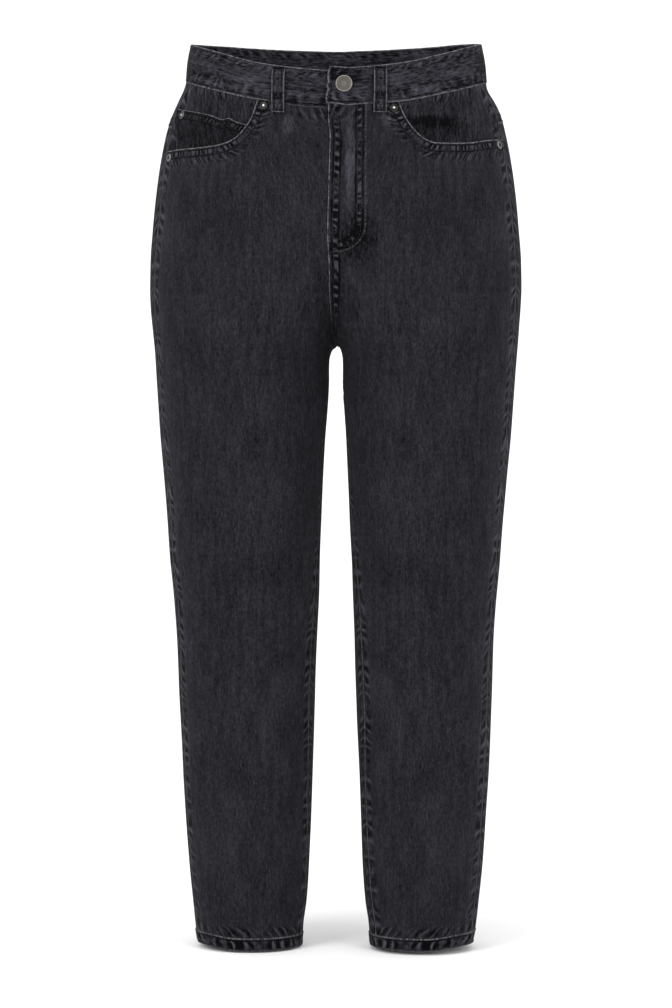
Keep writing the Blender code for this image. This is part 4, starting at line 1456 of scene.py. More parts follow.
class NodeSheet:
    """A material's node tree, filled through one method."""

    def __init__(self, name: str) -> None:
        """Makes the material with an empty tree."""
        self.material = bpy.data.materials.new(name)
        self.material.use_nodes = True
        self.tree = self.material.node_tree
        self.tree.nodes.clear()

    def add(self, kind: str, settings: dict | None, inputs: dict | None) -> bpy.types.Node:
        """Adds a node.

        Args:
            kind: The node's type.
            settings: Its properties.
            inputs: Values or outputs for its sockets, by name or place.

        Returns:
            The node.
        """
        made = self.tree.nodes.new(kind)
        for name, value in (settings or {}).items():
            setattr(made, name, value)
        for name, value in (inputs or {}).items():
            socket = made.inputs[name]
            if isinstance(value, Wire):
                self.tree.links.new(value.socket, socket)
            else:
                socket.default_value = value
        return made

    def node(
        self, kind: str, settings: dict | None = None, inputs: dict | None = None, output: int | str = 0
    ) -> Wire:
        """Adds a node and returns one of its outputs."""
        return Wire(self, self.add(kind, settings, inputs).outputs[output])

    def place(self) -> Wire:
        """Object coordinates, which are the part's own metres."""
        return self.node("ShaderNodeTexCoord", None, None, "Object")

    def uv(self, name: str) -> Wire:
        """A named UV map."""
        return self.node("ShaderNodeUVMap", {"uv_map": name})

    def part_of(self, vector: Wire, axis: str) -> Wire:
        """One coordinate of a vector."""
        return self.node("ShaderNodeSeparateXYZ", None, {0: vector}, axis)

    def vector(self, x: Wire | float, y: Wire | float, z: Wire | float = 0.0) -> Wire:
        """A vector from three coordinates."""
        return self.node("ShaderNodeCombineXYZ", None, {0: x, 1: y, 2: z})

    def noise(self, vector: Wire, detail: float = 2.0, roughness: float = 0.5, scale: float = 1.0) -> Wire:
        """Noise from 0 to 1, with as many bumps as the scale for each unit of the vector."""
        inputs = {"Vector": vector, "Scale": scale, "Detail": detail, "Roughness": roughness}
        return self.node("ShaderNodeTexNoise", None, inputs)

    def mix(self, share: Wire | float, first: Wire | Colour, second: Wire | Colour) -> Wire:
        """A colour between two."""
        ends = [end if isinstance(end, Wire) else (*end, 1.0) for end in (first, second)]
        inputs = {"Factor": share, 6: ends[0], 7: ends[1]}
        return self.node("ShaderNodeMix", {"data_type": "RGBA"}, inputs, 2)

    def finish(self, surface: dict, bump: Wire | None = None, distance: float = 0.001) -> bpy.types.Material:
        """Adds the surface shader and the output.

        Args:
            surface: Values or outputs for the Principled BSDF's sockets.
            bump: Height for its normal.
            distance: How high a bump of 1 is.

        Returns:
            The material.
        """
        if bump is not None:
            inputs = {"Strength": 1.0, "Distance": distance, "Height": bump}
            surface = {**surface, "Normal": self.node("ShaderNodeBump", None, inputs)}
        shader = self.node("ShaderNodeBsdfPrincipled", None, surface)
        self.add("ShaderNodeOutputMaterial", None, {"Surface": shader})
        return self.material


class Grain(Enum):
    """Which way the slubs of the warp run on a piece."""

    UP = "up"
    ROUND = "round"


class Mottle(NamedTuple):
    """One scale of unevenness in the dye: its size across and along the warp, and its noise."""

    across: float
    along: float
    shift: float
    detail: float
    roughness: float


THREADS = Mottle(0.0018, 0.0085, 0.0, 4.0, 0.70)
STREAKS = Mottle(0.0060, 0.042, 3.0, 2.0, 0.55)
FLECKS = Mottle(0.0022, 0.0032, 9.0, 3.0, 0.65)
CLOUD = Mottle(0.045, 0.070, 5.0, 3.0, 0.55)
TWILL_PITCH = 0.0016


@dataclass(frozen=True)
class SeamMark:
    """How the cloth beside one edge is marked: worn lines and puckers from washing, painted shade in its
    stitched grooves, and a lighter band along the edge.

    Args:
        uv_map: The UV map that holds the distances.
        away: Its coordinate that is the distance from the edge.
        along: Its coordinate along the edge, or "Z" for the height.
        worn: Width of the light worn line on the edge itself.
        worn_strength: How light that line is.
        middle: Distance from the edge to the middle of the puckers.
        reach: How far the puckers go on both sides of that.
        spacing: Distance from one pucker to the next.
        strength: How strong they are.
        slant: How far a pucker leans for each unit away from the edge.
        rows: Distances of the stitched grooves from the edge, which are darkened as painted shade.
        lines: Distances of light broken lines from the edge.
        line_strength: How light those are.
        low: Lowest height at which the mark shows.
        high: Greatest height at which it shows.
        fade: How much lighter the cloth is along the edge.
    """

    uv_map: str
    away: str = "Y"
    along: str = "X"
    worn: float = 0.0010
    worn_strength: float = 1.0
    middle: float = 0.0050
    reach: float = 0.0050
    spacing: float = 0.0050
    strength: float = 1.0
    slant: float = 0.35
    rows: tuple[float, ...] = ()
    lines: tuple[float, ...] = ()
    line_strength: float = 0.7
    low: float = -2.0
    high: float = 2.0
    fade: float = 0.0


@dataclass(frozen=True)
class Denim:
    """Washed black denim. Its darkest and most faded yarns are shares of the base colour."""

    base: Colour = (0.0131, 0.0127, 0.0157)
    deepest: float = 0.15
    palest: float = 5.5
    worn: Colour = (0.1500, 0.1500, 0.1570)
    roughness: float = 0.90
    grain: Grain = Grain.UP
    marks: tuple[SeamMark, ...] = ()
    patches: tuple[tuple[float, float, float, float, float], ...] = ()
    dark: float = 0.0
    slub: float = 1.0
    hides_wear: float = -1.2

    def material(self, name: str) -> bpy.types.Material:
        """The material, on a piece with a "weave" UV map."""
        sheet = NodeSheet(name)
        weave = sheet.uv("weave")
        u, v = sheet.part_of(weave, "X"), sheet.part_of(weave, "Y")
        across, along = (u, v) if self.grain is Grain.UP else (v, u)
        place = sheet.place()
        height_z = sheet.part_of(place, "Z")
        threads, streaks, flecks, cloud = (
            sheet.noise(
                sheet.vector(across / dye.across, along / dye.along, dye.shift), dye.detail, dye.roughness
            )
            for dye in (THREADS, STREAKS, FLECKS, CLOUD)
        )
        twill = ((u + v * 0.9) * (math.tau / TWILL_PITCH) + flecks * 5.0).math("SINE")
        tone = (threads - 0.5) * (2.1 * self.slub) + (streaks - 0.5) * self.slub
        tone = tone + (flecks - 0.5) * 1.5 + (cloud - 0.5) * 0.8 + twill * 0.06 - self.dark
        light, bump = None, threads * 0.40 + twill * 0.12 + streaks * 0.25
        # Each mark adds puckers to the tone and takes away its painted shade in the grooves and its painted
        # light along the edge.
        for mark in self.marks:
            worn, pucker, painted_shade_and_light, rise = self._marked(sheet, mark, height_z)
            tone = tone + pucker - painted_shade_and_light
            bump = bump + rise
            light = worn if light is None else light.math("MAXIMUM", worn)
        # Listed ovals added to the tone; most of the dark ones are painted shade.
        for x, z, wide, high, strength in self.patches:
            spot = self._patch(sheet, place, (x, z), (wide, high))
            tone = tone + spot * strength
            # Ovals darker than hides_wear, such as the painted shade at the belt loops' fold, also dim the
            # worn lines.
            if strength < self.hides_wear:
                light = light * (1.0 - spot * 0.85)
        deep = tuple(self.deepest * value for value in self.base)
        pale = tuple(self.palest * value for value in self.base)
        body = sheet.mix(tone.ramp(-0.79, 0.0), deep, self.base)
        body = sheet.mix(tone.ramp(0.0, 2.9), body, pale)
        if light is not None:
            body = sheet.mix(light, body, self.worn)
        surface = {
            "Base Color": body,
            "Roughness": self.roughness,
            "Sheen Weight": 0.015,
            "Sheen Roughness": 0.5,
            "Specular IOR Level": 0.02,
        }
        return sheet.finish(surface, bump, 0.0006)

    @staticmethod
    def _marked(sheet: NodeSheet, mark: SeamMark, height_z: Wire) -> tuple[Wire, Wire, Wire, Wire]:
        """One seam mark.

        Args:
            sheet: The material's nodes.
            mark: The seam mark.
            height_z: Height of each place.

        Returns:
            Its worn line, puckers, painted shade and light, and bump.
        """
        pair = sheet.uv(mark.uv_map)
        away = sheet.part_of(pair, mark.away)
        along = height_z if mark.along == "Z" else sheet.part_of(pair, mark.along)
        above = height_z.step(mark.low - 0.004, mark.low + 0.004)
        inside = above * height_z.step(mark.high + 0.004, mark.high - 0.004)
        uneven = sheet.noise(sheet.vector(along / 0.007, 2.0), 4.0, 0.75).step(0.36, 0.64)
        patchy = sheet.noise(sheet.vector(along / 0.026, 8.0), 2.0, 0.6).step(0.36, 0.62)
        width = uneven * 0.7 + 0.55
        worn = (away / width).step(mark.worn, mark.worn * 0.40)
        worn = worn * (uneven * 0.68 + patchy * 0.24 + 0.08) * mark.worn_strength
        lean = (along + away * mark.slant) / mark.spacing
        drift = sheet.noise(sheet.vector(lean * 0.5, away / 0.030, 7.0), 1.0, 0.5)
        scatter = sheet.noise(sheet.vector(lean * 2.0, away / 0.008, 4.0), 2.0, 0.6)
        swell = (lean * math.tau + drift * 16.0).math("SINE") * 0.5 + 0.5
        wave = (swell.math("POWER", 2.2) * 1.1 - 0.40) * (patchy + 0.15) + (scatter - 0.5) * 1.9
        near = (away - mark.middle).math("ABSOLUTE").step(mark.reach, mark.reach * 0.3) * inside
        pucker = wave * near * (1.3 * mark.strength)
        # Painted light along the edge where fade is set, as a negative painted shade.
        painted_shade_and_light = away.step(0.045, 0.0) * inside * -mark.fade
        rise = wave * near * (0.7 * mark.strength)
        # Painted shade darkens each stitched groove, whose bump also sinks it.
        for row in mark.rows:
            shaded_groove = away.band(row, 0.0014) * inside
            painted_shade_and_light = painted_shade_and_light + shaded_groove * (patchy * 0.55 + 0.35)
            rise = rise - shaded_groove * 0.5
        broken = sheet.noise(sheet.vector(along / 0.0024, 6.0), 2.0, 0.6).step(0.44, 0.60)
        for line in mark.lines:
            seen = away.band(line, 0.0011) * (broken * 0.75 + patchy * 0.25) * mark.line_strength
            worn = worn.math("MAXIMUM", seen)
        worn = worn * inside
        return worn, pucker, painted_shade_and_light, rise

    @staticmethod
    def _patch(sheet: NodeSheet, place: Wire, middle: tuple[float, float], size: tuple[float, float]) -> Wire:
        """A ragged oval on the front, 1 in its middle and 0 outside.

        Args:
            sheet: The material's nodes.
            place: Object coordinates.
            middle: X and Z of its middle.
            size: Half its width and half its height.

        Returns:
            The oval.
        """
        x = (sheet.part_of(place, "X") - middle[0]) / size[0]
        z = (sheet.part_of(place, "Z") - middle[1]) / size[1]
        front = sheet.part_of(place, "Y").step(0.0, -0.02)
        upright = size[1] > size[0]
        grain_x, grain_z = (0.0034, 0.0110) if upright else (0.0120, 0.0045)
        grain = sheet.vector(x * (size[0] / grain_x), z * (size[1] / grain_z), 1.0)
        ragged = sheet.noise(grain, 4.0, 0.70) * (4.2 if upright else 3.0)
        return (x * x + z * z + ragged).step(3.4, 1.3) * front


@dataclass(frozen=True)
class Thread:
    """Tonal sewing thread."""

    colour: Colour = (0.0100, 0.0098, 0.0118)

    def material(self, name: str) -> bpy.types.Material:
        """The material, with the thread's twist."""
        sheet = NodeSheet(name)
        spots = sheet.noise(sheet.place(), scale=900.0)
        dark, light = (tuple(share * value for value in self.colour) for share in (0.7, 2.0))
        body = sheet.mix(spots, dark, light)
        surface = {"Base Color": body, "Roughness": 0.8, "Specular IOR Level": 0.12}
        return sheet.finish(surface, spots, 0.0002)


@dataclass(frozen=True)
class AgedMetal:
    """Matt nickel that has darkened in its hollows. The colours run from the middle of a piece to its rim."""

    middle: Colour = (0.150, 0.141, 0.128)
    ring: Colour = (0.112, 0.105, 0.096)
    rim: Colour = (0.24, 0.23, 0.215)
    middle_share: float = 0.30
    rim_share: float = 0.86
    roughness: float = 0.44

    def material(self, name: str) -> bpy.types.Material:
        """The material, on a turned piece with a "turned" UV map of radius share and height share."""
        sheet = NodeSheet(name)
        place = sheet.place()
        spots = sheet.noise(place, 4.0, 0.6, 1400.0)
        wide = sheet.noise(place, 3.0, scale=260.0)
        radius = sheet.part_of(sheet.uv("turned"), "X")
        past_middle = radius.step(self.middle_share - 0.05, self.middle_share + 0.05)
        at_rim = radius.step(self.rim_share - 0.03, self.rim_share + 0.03)
        body = sheet.mix(at_rim, sheet.mix(past_middle, self.middle, self.ring), self.rim)
        tarnish = sheet.mix((spots - 0.5) * 1.6 + 0.25, (1.0, 1.0, 1.0), (0.55, 0.54, 0.52))
        body = sheet.node("ShaderNodeVectorMath", {"operation": "MULTIPLY"}, {0: body, 1: tarnish})
        rough = wide * 0.25 + (self.roughness - 0.10)
        surface = {"Base Color": body, "Metallic": 1.0, "Roughness": rough}
        return sheet.finish(surface, spots * 0.5 + wide * 0.5, 0.0001)


class Stitcher:
    """Sews rows of small stitches on the finished faces."""

    def __init__(self, name: str, seats: Seats, finish: bpy.types.Material) -> None:
        """Starts an empty piece."""
        self.name = name
        self.seats = seats
        self.finish = finish
        self.form = bmesh.new()
        self.random = random.Random(name)

    def row(
        self, line: Array, normals: Array, pitch: float = STITCH_PITCH, length: float = STITCH_LENGTH
    ) -> None:
        """Sews one row.

        Args:
            line: Points beside the row, in order.
            normals: Outward normals there.
            pitch: Distance from one stitch to the next.
            length: Length of a stitch.
        """
        travelled = np.concatenate([[0.0], np.cumsum(length_of(np.diff(line, axis=0)))])
        count = max(1, int(travelled[-1] / pitch))
        sewn = bmesh.new()
        for index in range(count):
            middle = (index + 0.5) * travelled[-1] / count
            ends = [self._at(line, normals, travelled, middle + shift * length / 2) for shift in (-1, 1)]
            seated = [self._seated(point, normal) for point, normal in ends]
            self._stitch(sewn, seated[0], seated[1], Vector(ends[0][1]))
        finished = bpy.data.meshes.new(self.name)
        sewn.to_mesh(finished)
        sewn.free()
        self.form.from_mesh(finished)
        bpy.data.meshes.remove(finished)

    @staticmethod
    def _at(line: Array, normals: Array, travelled: Array, distance: float) -> tuple[Array, Array]:
        """The point and normal at a distance along a line."""
        point = [np.interp(distance, travelled, line[:, axis]) for axis in range(3)]
        normal = [np.interp(distance, travelled, normals[:, axis]) for axis in range(3)]
        return np.array(point), unit(np.array(normal))

    def _seated(self, point: Array, normal: Array) -> Vector:
        """The point on the cloth over or under a point."""
        start, out = Vector(point), Vector(normal)
        return start + out * self.seats.height(start, out, STITCH_REACH)

    def _stitch(self, sewn: bmesh.types.BMesh, start: Vector, end: Vector, out: Vector) -> None:
        """One stitch, sunk a little at its ends.

        Args:
            sewn: The row that it is added to.
            start: Where it starts.
            end: Where it ends.
            out: The way out of the cloth.
        """
        run = end - start
        length = run.length
        along = run.normalized()
        across = along.cross(out).normalized()
        up = across.cross(along)
        middle = (start + end) / 2 + up * THREAD_RADIUS * (0.5 + 0.2 * self.random.random())
        axes = Matrix((along * length / 2, across * THREAD_RADIUS, up * THREAD_RADIUS)).transposed().to_4x4()
        place = Matrix.Translation(middle) @ axes
        sphere_axis = Matrix.Rotation(math.pi / 2, 4, "Y")
        bmesh.ops.create_uvsphere(sewn, u_segments=6, v_segments=4, radius=1.0, matrix=place @ sphere_axis)

    def build(self) -> bpy.types.Object:
        """Makes the object."""
        mesh = bpy.data.meshes.new(self.name)
        bmesh.ops.recalc_face_normals(self.form, faces=self.form.faces)
        self.form.to_mesh(mesh)
        self.form.free()
        mesh.materials.append(self.finish)
        made = smooth_object(self.name, mesh)
        finish_piece(made)
        return made


def beside(line: Array, normals: Array, distance: float) -> tuple[Array, Array]:
    """A line moved sideways within the cloth.

    Args:
        line: Points of an edge, in order.
        normals: Outward normals there.
        distance: How far to move, to the left of the way that the line runs.

    Returns:
        The moved points and the normals.
    """
    tangents = unit(np.gradient(line, axis=0))
    sideways = unit(np.cross(normals, tangents))
    return line + sideways * distance, normals


def turned_mesh(profile: Sequence[tuple[float, float]], segments: int) -> bmesh.types.BMesh:
    """A solid turned about +Z.

    Args:
        profile: Radius and height, from the top down.
        segments: Steps round the axis.

    Returns:
        The closed solid.
    """
    form = bmesh.new()
    verts = [form.verts.new((radius, 0, height)) for radius, height in profile]
    edges = [form.edges.new(ends) for ends in zip(verts, verts[1:])]
    bmesh.ops.spin(form, geom=verts + edges, cent=(0, 0, 0), axis=(0, 0, 1), angle=math.tau,
                   steps=segments, use_merge=True)
    bmesh.ops.remove_doubles(form, verts=form.verts, dist=0.000005)
    bmesh.ops.recalc_face_normals(form, faces=form.faces)
    return form


@dataclass
class Fasteners:
    """The shank button and the rivets."""

    finishes: dict[str, bpy.types.Material]
    button_segments: int = 72
    rivet_segments: int = 40

    def place(
        self, name: str, form: bmesh.types.BMesh, radius: float, height: float, seat: Matrix
    ) -> bpy.types.Object:
        """Maps a turned piece, moves it to its seat and makes the object.

        Args:
            name: The piece's name.
            form: The turned solid, which is used up.
            radius: Its radius.
            height: Its height.
            seat: Where it goes.

        Returns:
            The finished object.
        """
        layer = form.loops.layers.uv.new("turned")
        for face in form.faces:
            for loop in face.loops:
                where = loop.vert.co
                loop[layer].uv = (math.hypot(where.x, where.y) / radius, where.z / height)
        bmesh.ops.transform(form, matrix=seat, verts=form.verts)
        mesh = bpy.data.meshes.new(name)
        form.to_mesh(mesh)
        form.free()
        mesh.materials.append(self.finishes[name.split("_")[2] if "rivet" in name else "button"])
        made = smooth_object(name, mesh)
        finish_piece(made)
        return made

    def seat(self, side: Side, x: float, z: float, seats: Seats, radius: float) -> Matrix:
        """Where a fastener stands: on the highest cloth under it, facing out.

        Args:
            side: The wearer's side.
            x: Distance from the middle of the body.
            z: Height.
            seats: The cloth under it.
            radius: Radius of its foot.

        Returns:
            The place and the turn.
        """
        turn = BODY.degrees_at_x(z, x, Face.FRONT)
        point, normal = map(Vector, BODY.plain(side, z, turn))
        facing = normal.to_track_quat("Z", "Y").to_matrix().to_4x4()
        levels = []
        for step in range(12):
            angle = math.tau * step / 12
            for share in (0.0, 1.0):
                aside = Vector((share * radius * math.cos(angle), share * radius * math.sin(angle), 0))
                levels.append(seats.height(point + facing @ aside, normal))
        return Matrix.Translation(point + normal * (max(levels) + SEAM_GAP)) @ facing

    def button(self, seats: Seats) -> bpy.types.Object:
        """The button: a shallow dish with a rolled rim on a shank."""
        radius, height = BUTTON_RADIUS, BUTTON_HEIGHT
        dish = [(radius * share, height * (0.80 + 0.03 * share**2)) for share in (0, 0.2, 0.4, 0.6, 0.72)]
        rim_radius, rim_height = 0.080, 0.17
        rim = []
        for step in range(9):
            angle = math.pi * (1 - step / 8)
            rim_x, rim_z = 0.90 + rim_radius * math.cos(angle), 0.83 + rim_height * math.sin(angle)
            rim.append((radius * rim_x, height * rim_z))
        shares = ((0.99, 0.70), (0.95, 0.45), (0.60, 0.30), (0.34, 0.26), (0.34, 0), (0, 0))
        shank = [(radius * across, height * up) for across, up in shares]
        form = turned_mesh(dish + rim + shank, self.button_segments)
        seat = self.seat(Side.LEFT, BUTTON_X, BUTTON_Z, seats, radius * 0.34)
        made = self.place("metal_button", form, radius, height, seat)
        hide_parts("button")
        return made

    def rivet(self, rivet: Rivet, seats: Seats) -> bpy.types.Object:
        """A rivet: a flat ring, a groove, and the nub of its nail in the middle."""
        radius, height = RIVET_RADIUS, RIVET_HEIGHT
        profile = [(0, 1.0), (0.14, 0.985), (0.25, 0.90), (0.31, 0.72), (0.34, 0.46), (0.42, 0.40),
                   (0.50, 0.44), (0.60, 0.60), (0.72, 0.66), (0.84, 0.60), (0.93, 0.44), (0.985, 0.22),
                   (1.0, 0.0), (0, 0)]
        form = turned_mesh([(radius * across, height * up) for across, up in profile], self.rivet_segments)
        seat = self.seat(rivet.side, rivet.x, rivet.z, seats, radius)
        made = self.place("metal_" + rivet.name, form, radius, height, seat)
        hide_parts(rivet.name)
        return made


@dataclass
class Studio:
    """The pale floor and backdrop, the soft lights and the camera."""

    floor: Colour = (0.96, 0.96, 0.96)

    def backdrop(self) -> None:
        """A floor that sweeps up into a wall behind."""
        form = bmesh.new()
        radius, front, back, half = 1.2, -4.5, 3.0, 6.0
        profile = [(front, FLOOR_Z), (back - radius, FLOOR_Z)]
        for step in range(1, 13):
            angle = math.pi / 2 * step / 12
            sweep = (back - radius + radius * math.sin(angle), FLOOR_Z + radius * (1 - math.cos(angle)))
            profile.append(sweep)
        profile.append((back, 4.5))
        verts = [form.verts.new((-half, y, z)) for y, z in profile]
        edges = [form.edges.new(ends) for ends in zip(verts, verts[1:])]
        made = bmesh.ops.extrude_edge_only(form, edges=edges)
        moved = [item for item in made["geom"] if isinstance(item, bmesh.types.BMVert)]
        bmesh.ops.translate(form, verts=moved, vec=(2 * half, 0, 0))
        mesh = bpy.data.meshes.new("backdrop")
        form.to_mesh(mesh)
        form.free()
        sheet = NodeSheet("backdrop_paper")
        grain = sheet.noise(sheet.place(), scale=3.0)
        tone = sheet.mix(grain, self.floor, tuple(value * 1.01 for value in self.floor))
        surface = {"Base Color": tone, "Roughness": 0.95, "Specular IOR Level": 0.1}
        mesh.materials.append(sheet.finish(surface))
        stage = smooth_object("backdrop", mesh)

    def light(self, name: str, place: Sequence[float], size: float, watts: float) -> None:
        """A square soft light that faces the jeans.

        Args:
            name: Its name.
            place: Where it stands.
            size: Length of its side.
            watts: Its strength.
        """
        lamp = bpy.data.lights.new(name, "AREA")
        lamp.shape = "SQUARE"
        lamp.size = size
        lamp.energy = watts
        made = bpy.data.objects.new(name, lamp)
        made.location = place
        aim = Vector((0, 0, -0.45)) - made.location
        made.rotation_euler = aim.to_track_quat("-Z", "Y").to_euler()
        bpy.context.scene.collection.objects.link(made)

    def build(self) -> None:
        """Makes the stage, the lights and the camera."""
        self.backdrop()
        bpy.context.scene.view_settings.view_transform = "Standard"
        world = bpy.data.worlds.new("studio")
        bpy.context.scene.world = world
        world.use_nodes = True
        world.node_tree.nodes["Background"].inputs[0].default_value = (1, 1, 1, 1)
        world.node_tree.nodes["Background"].inputs[1].default_value = 0.85
        self.light("key", (-1.9, -2.4, 0.9), 1.4, 52)
        self.light("fill", (2.1, -2.2, 0.4), 1.6, 34)
        self.light("top", (0.0, -0.4, 2.2), 2.0, 30)
        lens = bpy.data.cameras.new("camera")
        lens.sensor_fit = "VERTICAL"
        lens.angle_y = math.radians(CAMERA_FOV_DEG)
        camera = bpy.data.objects.new("camera", lens)
        azimuth = math.radians(CAMERA_AZIMUTH_DEG)
        across, ahead = CAMERA_DISTANCE * math.sin(azimuth), -CAMERA_DISTANCE * math.cos(azimuth)
        camera.location = (across, ahead, CAMERA_Z)
        camera.rotation_euler = (math.pi / 2, 0, azimuth)
        bpy.context.scene.collection.objects.link(camera)
        bpy.context.scene.camera = camera


@dataclass
class Jeans:
    """All of the cloth pieces, their stitching and their fasteners."""

    panels: dict[str, Panel] = field(default_factory=dict)
    objects: dict[str, bpy.types.Object] = field(default_factory=dict)

    def lay(self) -> None:
        """Makes every grid, each on the pieces that carry it."""
        for side in Side:
            legs = LegPanels(side)
            legs.build()
            self.panels.update(legs.panels)
        pockets = FrontPockets()
        pockets.build()
        self.panels.update(pockets.panels)
        band = Waistband()
        self.panels["waistband"] = band.band()
        patches = PatchPockets()
        for side in Side:
            under = self.seats("back_" + side.word)
            self.panels["back_pocket_" + side.word] = patches.patch(side, under)
        self.panels["fly_shield"] = fly_shield()
        self.raise_by_the_fly()
        for loop in LOOPS:
            kind = "front_" if loop.face == Face.FRONT else "yoke_"
            under = self.seats("waistband", kind + "left", kind + "right")
            self.panels[loop.name] = band.loop(loop, under)

    def raise_by_the_fly(self) -> None:
        """Rolls the fly's free edge, which lies over the right front."""
        front = self.panels["front_left"]
        away = front.maps["sides"][..., 1]
        z = front.points[..., 2]
        above = smoothstep(z, FLY_BOTTOM_Z - 0.05, FLY_BOTTOM_Z)
        rope = pucker_wave(z, 0.0085, 71.0) * hump(away, 0.007, 0.004)
        front.raise_by(above * (0.0004 * rope + 0.0003 * hump(away, 0.0, 0.003)))

    def finishes(self) -> dict[str, bpy.types.Material]:
        """The denim of each kind of piece."""
        side = SeamMark("sides", "X", "Z", 0.0009, 0.5, 0.0070, 0.0070, 0.0130, 1.4, 0.5, (), (0.0135,), 0.14,
                        fade=0.35)
        rise = SeamMark("sides", "Y", "Z", 0.0012, 0.95, 0.0078, 0.0034, 0.0095, 1.9, 0.2, (0.0040, 0.0114),
                        low=CROTCH_Z)
        # The inseam's fade is painted light that lifts the inner leg, which the other leg shades.
        inseam = SeamMark("sides", "Y", "Z", 0.0009, 0.65, 0.0065, 0.0070, 0.0140, 1.3, 0.3,
                          high=CROTCH_Z, fade=0.22)
        mouth = SeamMark("mouth", "Y", "X", 0.0015, 1.0, 0.0055, 0.0036, 0.0052, 1.8, 0.1, (0.0024, 0.0090))
        under_mouth = SeamMark("mouth", "Y", "X", 0.0001, 0.0, 0.0140, 0.0060, 0.0056, 0.9, 0.7)
        front_waist = SeamMark("top", "Y", "X", 0.0008, 0.4, 0.0080, 0.0090, 0.0090, 0.7, 0.5, low=-0.076)
        hem = SeamMark("hem", "Y", "X", 0.0014, 0.45, 0.0060, 0.0060, 0.0105, 2.0, -0.3,
                       (0.0108,), (0.0128,), 0.90)
        above_hem = SeamMark("hem", "Y", "X", 0.0001, 0.0, 0.0190, 0.0070, 0.0095, 1.0, -0.8)
        fly = SeamMark("fly", "Y", "X", 0.0001, 0.0, -0.0062, 0.0022, 0.0088, 2.2, 0.1,
                       (-0.0100, -0.0028), (0.0,), 0.35)
        waist = SeamMark("top", "Y", "X", 0.0014, 0.8, 0.0055, 0.0060, 0.0060, 0.9, 0.6)
        grooves = (0.0026, 0.0090)
        yoke_top = SeamMark("top", "Y", "X", 0.0004, 0.3, 0.0060, 0.0060, 0.0075)
        yoke_low = SeamMark("low", "Y", "X", 0.0012, 0.9, 0.0055, 0.0034, 0.0056, 1.3, rows=grooves)
        patch_edge = SeamMark("edge", "Y", "X", 0.0012, 0.9, 0.0055, 0.0034, 0.0060, 1.3, rows=grooves)
        patch_top = SeamMark("top", worn=0.0013, middle=0.0065, spacing=0.0090, rows=OPENING_ROWS)
        coin_top = SeamMark("top", "Y", "X", 0.0013, 0.9, 0.0055, 0.0030, 0.0046, 1.5, rows=grooves)
        inside = Denim(base=(0.0190, 0.0188, 0.0212))
        # Painted shadow on the facing just under the pocket mouth's edge.
        facing_painted_shadow = ((0.103, -0.0710, 0.027, 0.0060, -0.62), (0.106, -0.0800, 0.032, 0.0120, -0.42))
        # Left front: an abraded light strip beside the fly, a darker patch at the fly's foot, painted shade
        # at the crotch and a lighter spot.
        left_patches = (
            (0.0215, -0.118, 0.0058, 0.056, 1.7),
            (0.030, -0.190, 0.024, 0.032, -1.0),
            # Painted shade in the valley between the thighs at the crotch.
            (0.010, -0.262, 0.020, 0.045, -0.5),
            (0.057, -0.071, 0.008, 0.010, 0.9),
        )
        # Right front: a lighter spot, and painted shade in the valley at the crotch.
        right_patches = ((-0.0414, -0.0758, 0.007, 0.013, 1.0), (-0.010, -0.262, 0.018, 0.045, -0.4))
        return {
            "front_left": Denim(
                marks=(side, rise, inseam, mouth, under_mouth, front_waist, hem, above_hem, fly),
                patches=left_patches,
            ).material("denim_front_left"),
            "front_right": Denim(
                marks=(side, inseam, mouth, under_mouth, front_waist, hem, above_hem), patches=right_patches
            ).material("denim_front_right"),
            "back": Denim(marks=(side, rise, inseam, waist, hem, above_hem)).material("denim_back"),
            "yoke": Denim(marks=(side, rise, yoke_top, yoke_low)).material("denim_yoke"),
            "facing": Denim(marks=(side, waist), slub=1.7, patches=facing_painted_shadow).material("denim_facing"),
            "coin": Denim(marks=(coin_top,), dark=0.42, slub=1.6).material("denim_coin"),
            "patch": Denim(marks=(patch_edge, patch_top)).material("denim_patch"),
            "band": self.band_finish(),
            "loop": self.loop_finish(),
            "inside": inside.material("denim_inside"),
        }

    @staticmethod
    def band_finish() -> bpy.types.Material:
        """The waistband's denim, whose warp runs round the waist."""
        upper = SeamMark("edges", "X", "Y", 0.0016, 1.0, 0.0060, 0.0040, 0.0120, 1.0, 0.3)
        lower = SeamMark("lower", "X", "Y", 0.0015, 0.9, 0.0075, 0.0070, 0.0120, 0.9, 0.6, (0.0030,))
        ends = SeamMark("ends", "X", "Y", 0.0026, 0.8, 0.0050, 0.0030, 0.0090, 0.8, 0.3, (0.0046,))
        marks = (upper, lower, ends)
        # Painted shadow on the band beside the front belt loops, and round the button.
        painted_shadow_beside_loops = tuple((side * 0.0515, -0.034, 0.0105, 0.018, -1.0) for side in Side)
        patches = (*painted_shadow_beside_loops, (0.0153, -0.0260, 0.016, 0.010, -0.6))
        denim = Denim(grain=Grain.ROUND, marks=marks, patches=patches, slub=3.0, dark=-0.24)
        return denim.material("denim_band")

    @staticmethod
    def loop_finish() -> bpy.types.Material:
        """The belt loops' denim, worn along both edges and at the ends, with painted shade where the front
        loops fold and bend.
        """
        edge = SeamMark("ends", "X", "Y", 0.0014, 0.7, 0.0040, 0.0020, 0.0070, 0.5, 0.2, (0.0026,))
        ends = SeamMark("ends", "Y", "X", 0.0010, 0.7, 0.0050, 0.0030, 0.0060, 0.5, 0.2, (0.0020, 0.0130))
        # Painted shade where each front loop tucks under the rim, and above the band's lower edge where it
        # bends over it.
        folded = tuple((side * 0.0515, -0.0160, 0.0090, 0.0030, -1.3) for side in Side)
        painted_shade_at_bend = tuple((side * 0.0515, -0.0462, 0.0080, 0.0036, -0.8) for side in Side)
        denim = Denim(marks=(edge, ends), patches=folded + painted_shade_at_bend, dark=-0.45, slub=2.0)
        return denim.material("denim_loop")

